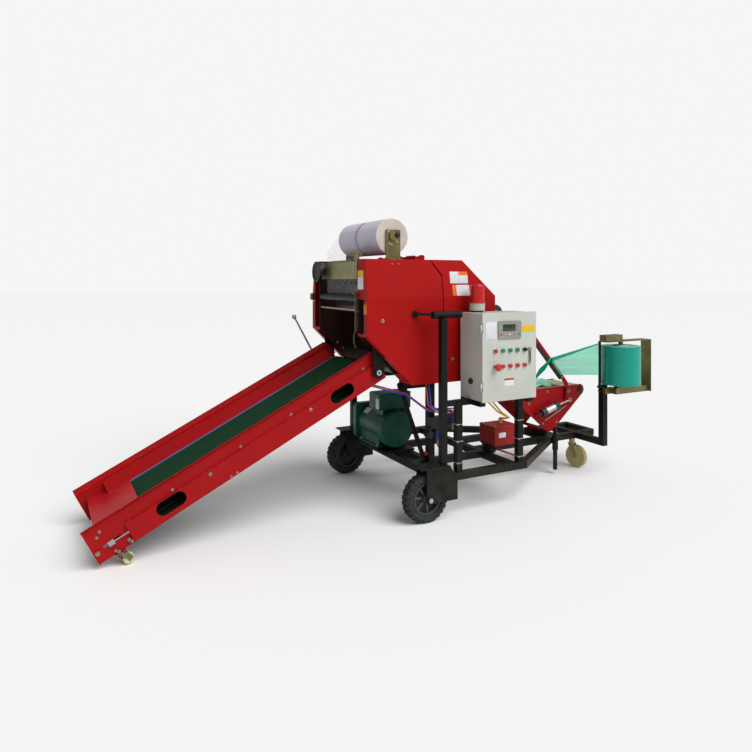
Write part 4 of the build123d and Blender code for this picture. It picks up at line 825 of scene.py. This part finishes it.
def dress_screen():
    """Screen frame, glass and keys; the buttons join the keys of their colour."""
    frame_out = 6.9
    panel = plate_piece("screen_frame", "door", PANEL_GREY, on_door(184, 1016), X, Z, 160, 98, 9,
                        [(0, 0), (0, 6), (1.5, 8), (6, 8), (7, 7)])
    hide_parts("door_controls")
    plate_piece("screen_glass", "door", SCREEN, on_door(178, 1028, 6.8), X, Z, 90, 38, 2,
                [(0, 0), (0, 0.9), (0.8, 1.2)])
    caps = {PANEL_GREY: Piece(), CAP_RED: Piece(), CAP_GREEN: Piece(), TIE_WHITE: Piece()}
    key = [(0, 0), (0, 1.4), (1, 2)]
    for row in range(4):
        caps[PANEL_GREY].plate(on_door(244, 1048 - 12 * row, frame_out), X, Z, 17, 8, 2, key)
    low_keys = ((CAP_RED, 122), (PANEL_GREY, 145), (TIE_WHITE, 180), (PANEL_GREY, 214), (CAP_GREEN, 250))
    for look, along in low_keys:
        caps[look].plate(on_door(along, 992, frame_out), X, Z, 15, 9, 3, key)
    return caps


def dress_buttons(caps):
    """Two rows of buttons in bright rings, with a selector and a mushroom button."""
    first, pitch, upper, lower = 86, 51, 903, 817
    ring = [(15.5, 0), (15.5, 3), (14.2, 4.2), (11, 4.2)]
    cap = [(11, 4), (11, 12), (9.8, 13.8), (6, 14.2), (2, 14.3)]
    mushroom = [(11, 4), (11, 22), (19, 25), (20.5, 29), (20, 33), (16, 37), (9, 39), (3, 39.5)]
    selector = [(11, 4), (11, 13), (9.5, 15), (4, 15)]
    rings = Piece()
    black = Piece()
    for index in range(5):
        along = first + pitch * index
        for z in (upper, lower):
            rings.turned(on_door(along, z), -Y, ring, 28)
            if z == upper and index == 4:
                black.turned(on_door(along, z), -Y, selector, 24)
                black.plate(on_door(along, z, 14.5), (1, 0, 0.5), (-0.5, 0, 1), 24, 8, 3,
                            [(0, 0), (0, 7), (1.5, 9)])
            elif z == lower and index == 0:
                caps[CAP_RED].turned(on_door(along, z), -Y, mushroom, 36)
            else:
                look = CAP_GREEN if z == upper and index > 0 else CAP_RED
                caps[look].turned(on_door(along, z), -Y, cap, 24)
    names = {PANEL_GREY: "keys_grey", CAP_RED: "caps_red", CAP_GREEN: "caps_green", TIE_WHITE: "key_white"}
    for look, name in names.items():
        caps[look].make(name, "door", look)
    rings.make("button_rings", "door", STEEL)
    black.plate(on_door(326, 862, 6), X, Z, 5, 66, 2, [(0, 0), (0, 4), (1, 5)])
    black.make("lock_handle", "door", BLACK)


def dress_door():
    """Screen, buttons, lock and blank labels of the door; plug and glands of the cabinet."""
    dress_buttons(dress_screen())
    bright = Piece()
    bright.plate(on_door(328, 866), X, Z, 15, 96, 7, [(0, 0), (0, 5), (1, 6)])
    bright.turned(on_door(329, 904, 5), -Y, [(9, 0), (9, 6), (7, 9), (2, 9.6)], 24)
    bright.turned(on_door(329, 828, 5), -Y, [(7, 0), (7, 4), (5, 6), (2, 6.4)], 24)
    bright.make("lock_ends", "door", STEEL)
    labels = (("white", LABEL_WHITE, 59, 1016, 74, 92), ("yellow", LABEL_YELLOW, 319, 1019, 92, 36),
              ("red", LABEL_RED, 182, 744, 68, 10), ("low", LABEL_WHITE, 182, 722, 66, 30))
    for name, look, along, z, width, height in labels:
        sticker("door_label_" + name, "door", look, on_door(along, z, LABEL_GAP), X, Z, width, height)
    plug = [(16, -9), (16, 0), (13, 3), (4, 4)]
    gland = [(11, 0), (11, 10), (8.5, 12), (8.5, 24), (6.5, 28)]
    turned_piece("side_plug", "machine", BLACK, [(286.3, -512, 732)], -X, plug, 24)
    turned_piece("cable_glands", "machine", BLACK, [(470, -434, 632), (500, -434, 632)], -Z, gland, 16)


def dress_motor():
    """Plates, lifting eye, fan cover, slotted shield, bolts and terminal lid of the motor."""
    plate_turn = math.radians(40)
    fan_y, shield_y = 10, 400.5
    eye_y, eye_z, eye_radius = 240, 482, 13
    bright = Piece()
    outward = Vector((-math.sin(plate_turn), 0, math.cos(plate_turn)))
    centre = Vector((MOTOR_X, 285, MOTOR_Z)) + outward * (MOTOR_RADIUS + 0.4)
    bright.plate(centre, outward.cross(Y), Y, 42, 60, 3, [(0, -2), (0, 1), (0.8, 1.4)])
    bright.plate((29.8, 90, 526), -Y, Z, 42, 64, 3, [(0, 0), (0, 0.9), (0.6, 1.2)])
    bright.make("motor_plates", "machine", LABEL_WHITE, slot="motor_green")
    dark = Piece()
    fan_cover = [(106, 0), (106, 0.5), (40, 2), (38, 3.5), (20, 3.5), (18, 5), (8, 5.5)]
    dark.turned((MOTOR_X, fan_y, MOTOR_Z), -Y, fan_cover, 48)
    for row in range(-3, 4):
        slot = (MOTOR_X, shield_y, MOTOR_Z + 22 * row)
        dark.plate(slot, -X, Z, 150 - 14 * abs(row), 8, 4, [(0, -1), (0, 1.2), (1, 2)])
    dark.make("motor_guards", "machine", MOTOR)
    steel = Piece()
    for x in (MOTOR_X - 88, MOTOR_X + 88):
        for y in (105, 320):
            steel.bolt((x, y, 266), Z, 7)
    for x in (42, 246):
        for y in (78, 192):
            steel.bolt((x, y, TERMINAL_TOP), Z, 4)
    steel.tube(circle(Vector((MOTOR_X, eye_y, eye_z)), Y, Z, eye_radius, 20), 4, 8, True)
    steel.turned((MOTOR_X, eye_y, 468), Z, [(10, 0), (10, 4), (6, 6)], 16)
    steel.make("motor_bolts", "machine", STEEL)
    plate_piece("terminal_lid", "machine", MOTOR, (MOTOR_X + 17, 125, TERMINAL_TOP), X, Y, 226, 132, 8,
                [(0, 0), (0, 3), (3, 6)])


def dress_wheels():
    """Hub faces with seven spokes in a lighter painted highlight over a black ring of painted shade between
    them, and the axle nuts.
    """
    spoke_count, spoke_turn, spoke_reach = 7, 0.4, 52
    shade_ring_profile = [(30, 0), (30, 1.2), (77, 1.2), (77, 0)]
    for side, name in ((-1, "near"), (1, "far")):
        outward = Vector((0, side, 0))
        front = Vector((AXLE_X, side * (WHEEL_TRACK / 2 + 5), WHEEL_Z))
        back = Vector((AXLE_X, side * (WHEEL_TRACK / 2 - 5), WHEEL_Z))
        # Painted shade: a black ring on each hub face stands for the shade between the spokes.
        painted_shade = Piece()
        painted_shade.turned(front, outward, shade_ring_profile, 48)
        painted_shade.turned(back, -outward, shade_ring_profile, 48)
        painted_shade.make("hub_painted_shade_" + name, "wheel_" + name, BLACK)
        spokes = Piece()
        for index in range(spoke_count):
            angle = 2 * math.pi * (index + spoke_turn) / spoke_count
            reach = Vector((math.cos(angle), 0, math.sin(angle)))
            spokes.plate(front + reach * spoke_reach, reach, outward.cross(reach), 54, 15, 3,
                         [(0, 0), (0, 5), (3, 8)])
        spokes.make("hub_spokes_" + name, "wheel_" + name, SPOKE_HIGHLIGHT)
        nut = [(15, -9), (15, -1), (13, 0.5), (6, 0.8)]
        axle_end = (AXLE_X, side * AXLE_END_Y, WHEEL_Z)
        turned_piece("axle_nut_" + name, "machine", STEEL, [axle_end], outward, nut, 6)


def dress_frame():
    """Cable ties, valve cap, red conduit with clips, and air fittings."""
    tie_half = 19.2
    ties = Piece()
    for x, heights in ((222, (500, 407, 289)), (651, (480, 372, 270))):
        for z in heights:
            loop = [(x + a * tie_half, POST_Y + b * tie_half, z) for a, b in CORNERS]
            ties.tube(loop, 1.5, 6, True)
            ties.block((x - 22, POST_Y - 22.5, z - 3), (x - 17, POST_Y - 17.5, z + 4), 0.6)
            tail = [(x - 20, POST_Y - 21, z), (x - 24, POST_Y - 29, z + 2), (x - 25, POST_Y - 40, z - 1)]
            ties.tube(tail, 1.1, 6)
    ties.make("cable_ties", "machine", TIE_WHITE)
    cap = [(9, 0), (9, 6), (13, 8), (13, 14), (10, 17), (4, 18)]
    turned_piece("valve_cap", "machine", CAP_RED, [(180, -240, 283)], -X, cap, 20)
    conduit = Piece()
    route = ((648, -150), (650, -220), (656, -320), (662, -420), (656, -462))
    conduit.tube([(x, y, CONDUIT_Z) for x, y in route], 6, 10)
    conduit.make("conduit_red", "machine", HOSE_RED)
    clips = Piece()
    for y in (-180, -250, -330, -400):
        x = 649 + (-150 - y) * 0.048
        arch = ((-9, -6), (-8, 4), (0, 8), (8, 4), (9, -6))
        clips.tube([(x + dx, y, CONDUIT_Z + dz) for dx, dz in arch], 1.6, 6)
    clips.make("conduit_clips", "machine", TIE_WHITE)
    fittings = Piece()
    for x in (326, 346):
        for y in (-266, -275):
            fittings.turned((x, y, 504), Z, [(6.4, 0), (6.4, 4), (5, 6), (5, 11), (4.6, 12)], 12)
    fittings.turned((231, -280, 330), -Z, [(5, 0), (5, 5), (3, 8), (1, 9)], 12)
    fittings.make("air_fittings", "machine", BRASS)


# Bolts in the conveyor's side channels: place along from the pivot, height over the bed, radius
CONVEYOR_BOLTS = ((-1567, 48, 7), (-1540, 108, 5), (-1519, 126, 5), (-1500, 14, 5), (-1491, 2, 5),
                  (-1433, 24, 5), (-1426, 10, 5), (-1176, 109, 5), (-998, 78, 6), (-813, 108, 5),
                  (-919, 10, 4), (-886, 10, 4), (-420, 78, 6), (-520, 109, 5), (-60, 109, 5))


def dress_conveyor():
    """Bolts of the side channels, seals beside the belt and the tray under it."""
    seal_y, seal_up = 221, 30
    bolts = Piece(CONVEYOR)
    for side in SIDES:
        for along, up, radius in CONVEYOR_BOLTS:
            face = BOARD_Y if up > BOARD_FOOT else SIDE_Y
            bolts.bolt((along, side * (face + 0.1), up - SHAFT_HEIGHT), (0, side, 0), radius)
    bolts.make("conveyor_bolts", "conveyor", BOLT)
    seals = Piece(CONVEYOR)
    for side in SIDES:
        seals.plate((-725, side * seal_y, seal_up), X, Y, 1430, 13, 2, [(0, -3), (0, 5), (2, 8)])
    seals.make("belt_seals", "conveyor", SEAL)
    plate_piece("belt_tray", "conveyor", TRAY, (-760, 0, 8 - SHAFT_HEIGHT), X, Y, 1280, 600, 2,
                [(0, -1), (0, 1)], matrix=CONVEYOR)


def dress_table():
    """Roller discs, bolts and pipe of the wrapping table; backing and bolts of the cutter arm."""
    disc_reach, disc_z = 274, 531
    pipe_y, arm_y = -142, -158
    discs = Piece()
    disc = [(25, 0), (25, 3), (22, 5), (12, 5), (11, 8), (9, 9), (3, 9)]
    for side in SIDES:
        for x in (TABLE_X - disc_reach, TABLE_X + disc_reach):
            discs.turned((x, side * TABLE_SIDE, disc_z), (0, side, 0), disc, 32)
    discs.make("roller_discs", "turntable", BLACK)
    bolt_places = ((-232, 540), (-180, 471), (180, 471), (-60, 330), (60, 330), (-20, 540))
    bolts_piece("table_bolts", "turntable", [((TABLE_X + x, side * TABLE_SIDE, z), (0, side, 0), 6)
                                             for side in SIDES for x, z in bolt_places])
    pipe = Piece()
    route = ((-50, 350), (0, 371), (70, 401), (140, 432))
    pipe.tube([(TABLE_X + x, pipe_y, z) for x, z in route], 4.5, 10)
    pipe.make("table_pipe", "turntable", PANEL_GREY)
    tip, knee = Vector((TABLE_X - 145, arm_y, 905)), Vector((TABLE_X + 97, arm_y, 633))
    along = (knee - tip).normalized()
    across = Vector((along.z, 0, -along.x))
    middle = (tip + knee) / 2 + across * 19
    plate_piece("arm_backing", "cutter", BLACK, middle, along, across, (knee - tip).length - 10, 22, 3,
                [(0, 0), (0, 12), (2, 14)])
    bolts_piece("arm_bolts", "cutter", [((TABLE_X + 146, arm_y - 0.2, 536), -Y, 9),
                                        ((TABLE_X + 97, ARM_FACE_Y, 633), -Y, 7)])


def dress_drive_box():
    """Overhanging lid with corner bolts, and a blank plate on the near side."""
    plate_piece("box_lid", "machine", BOX_RED, BOX_TOP, X, Y, 181, 156, 6, [(0, -10), (0, 2), (2, 4)])
    bolts_piece("box_bolts", "machine", [(BOX_TOP + Vector((x, y, 4)), Z, 5)
                                         for x in (-80, 80) for y in (-66, 66)])
    sticker("box_plate", "machine", LABEL_WHITE, (660, -330.1, 352), X, Z, 52, 30)


def dress_net():
    """Ends of the net roll, knobs and bolts of its brackets, and the open net to the feed roller."""
    core = [(100, 0), (99, 1), (70, 1.2), (40, 1.2), (38, 3), (24, 3), (22, 1)]
    knob = [(6, 0), (6, 8), (14, 10), (15, 16), (13, 22), (6, 24)]
    ends = Piece()
    for side in SIDES:
        ends.turned((NET_ROLL.x, side * (NET_HALF + 0.2), NET_ROLL.z), (0, side, 0), core, 48)
    ends.make("net_roll_ends", "net_roll", CORE)
    knobs = Piece()
    bolts = Piece()
    for side in SIDES:
        knobs.turned((NET_ROLL.x + 20, side * (BRACKET_Y + 0.2), NET_ROLL.z + 8), (0, side, 0), knob, 20)
        for x, z in ((-28, 22), (24, -34), (-8, -52), (-24, -44)):
            bolts.bolt((NET_ROLL.x + x, side * (BRACKET_Y + 0.1), NET_ROLL.z + z), (0, side, 0), 6)
    knobs.make("bracket_knobs", "machine", BLACK)
    bolts.make("bracket_bolts", "machine", BOLT)

    # The net bends over the channel's edge and hangs to the feed roller
    leave = math.radians(153)
    net_x, bend_z, end_z = -240.2, 1461, 1188
    start = NET_ROLL + Vector((NET_RADIUS * math.cos(leave), 0, NET_RADIUS * math.sin(leave)))
    path = [start.lerp(Vector((net_x, 0, bend_z)), k / 8) for k in range(9)]
    path += [Vector((net_x, 0, bend_z + (end_z - bend_z) * k / 12)) for k in range(1, 13)]
    rows = [[point + Vector((0, -240 + 20 * k, 0)) for k in range(25)] for point in path]
    net = cloth_piece("net_run", "machine", NET_THREAD, rows)
    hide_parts("net_web")


def film_edge():
    """Gathered upper edge of the web, thicker towards the arm."""
    low, high = Vector((FILM_GUIDE.x, FILM_GUIDE.y, 876)), Vector((1204, -157, 762))
    rings = []
    for k in range(13):
        t = k / 12
        tall, deep = 3 + 10 * t, 1.2 + 1.6 * t
        point = low.lerp(high, t)
        ring = []
        for n in range(10):
            a = 2 * math.pi * n / 10
            round_off = (deep * math.cos(a), -deep * 0.6 * math.cos(a), tall * math.sin(a) - tall * 0.8)
            ring.append(point + Vector(round_off))
        rings.append(ring)
    edge = Piece()
    edge.loft(rings)
    return edge.make("film_edge", None, WEB_DARK, 180)


def dress_film_run():
    """Pleated web from the guide roller to the arm."""
    rows = []
    for k in range(25):
        t = k / 24
        row = []
        for m in range(97):
            v = m / 96
            start = FILM_GUIDE + Z * (670 + 208 * v)
            end = Vector((1298 - 98 * v, ARM_FACE_Y, 647 + 120 * v))
            pleat = 1.5 * math.sin(2 * math.pi * 5.3 * v) + 0.9 * math.sin(2 * math.pi * 13.7 * v + 1.0)
            push = Vector((0.75, 0.4, 0)) * pleat * (0.25 + 0.75 * t) * math.sin(math.pi * t)
            row.append(start.lerp(end, t) + push)
        rows.append(row)
    web = cloth_piece("film_run", None, WEB, rows)
    start, end = at(FILM_GUIDE.x, FILM_GUIDE.y, 770), at(1250, ARM_FACE_Y, 707)
    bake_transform(web)
    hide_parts("film_web")
    edge = film_edge()
    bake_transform(edge)


# Middle line and half width of the film's tail, from the arm to the belts
FILM_TAIL = ((1206, -156, 764, 12), (1192, -163, 757, 7), (1181, -160, 742, 9), (1166, -150, 716, 16),
             (1152, -134, 690, 22), (1140, -118, 664, 15), (1130, -100, 634, 9), (1122, -82, 604, 8),
             (1116, -66, 578, 12), (1112, -48, 571, 26))


def dress_film_tail():
    """Folded end of the film, from the arm to the belts."""
    rows = []
    for x, y, z, half in FILM_TAIL:
        row = []
        for k in range(25):
            u = k / 24 * 2 - 1
            fold = math.sin(k * math.pi / 2) * (2.2 if half < 14 else 3.4)
            row.append(Vector((x, y, z)) + Vector((u * half * 0.90, fold - abs(u) * 2, -u * half * 0.44)))
        rows.append(row)
    tail = cloth_piece("film_tail", None, WEB_DARK, rows, 60)
    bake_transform(tail)


def dress_film_laid():
    """Film that lies in waves on the belts."""
    first_x, length, half, belt_top = 1085, 250, 112, 566.6
    rows = []
    for k in range(49):
        x = first_x + length * k / 48
        row = []
        for m in range(33):
            y = -half + 2 * half * m / 32
            wave = 0.5 + 0.5 * math.sin(0.052 * x + 0.021 * y)
            small = 0.5 + 0.5 * math.sin(0.13 * x - 0.05 * y + 1.3)
            rim = 1 - 0.35 * abs(y / half) ** 3
            row.append(Vector((x + 9 * math.sin(0.05 * y), y, belt_top + (22 * wave + 5 * small) * rim)))
        rows.append(row)
    laid = cloth_piece("film_laid", "turntable", WEB_PALE, rows)


def dress_film_stand():
    """Washer and nut on the film roll, and knobs of the post."""
    top = FILM_ROLL + Vector((0, 0, FILM_WIDTH))
    washer = [(52, 0.3), (52, 3), (49, 5), (39, 5)]
    nut = [(19, 0), (19, 2), (16, 3), (16, 16), (14, 18), (9, 18.5)]
    knob = [(7, 0), (7, 4), (11, 6), (11, 14), (8, 17), (3, 18)]
    turned_piece("core_washer", "film_roll", TIE_WHITE, [top], Z, washer, 40)
    turned_piece("spindle_nut", "film_roll", TRIM, [top + Vector((0, 0, 6))], Z, nut, 6)
    knob_places = [(TABLE_X + 229.8, -364, z) for z in (592, 560)]
    turned_piece("post_knobs", "machine", BLACK, knob_places, -X, knob, 16)


for dress in (dress_covers, dress_gate, dress_door, dress_motor, dress_wheels, dress_frame, dress_conveyor,
              dress_table, dress_drive_box, dress_net, dress_film_run, dress_film_tail, dress_film_laid,
              dress_film_stand):
    dress()
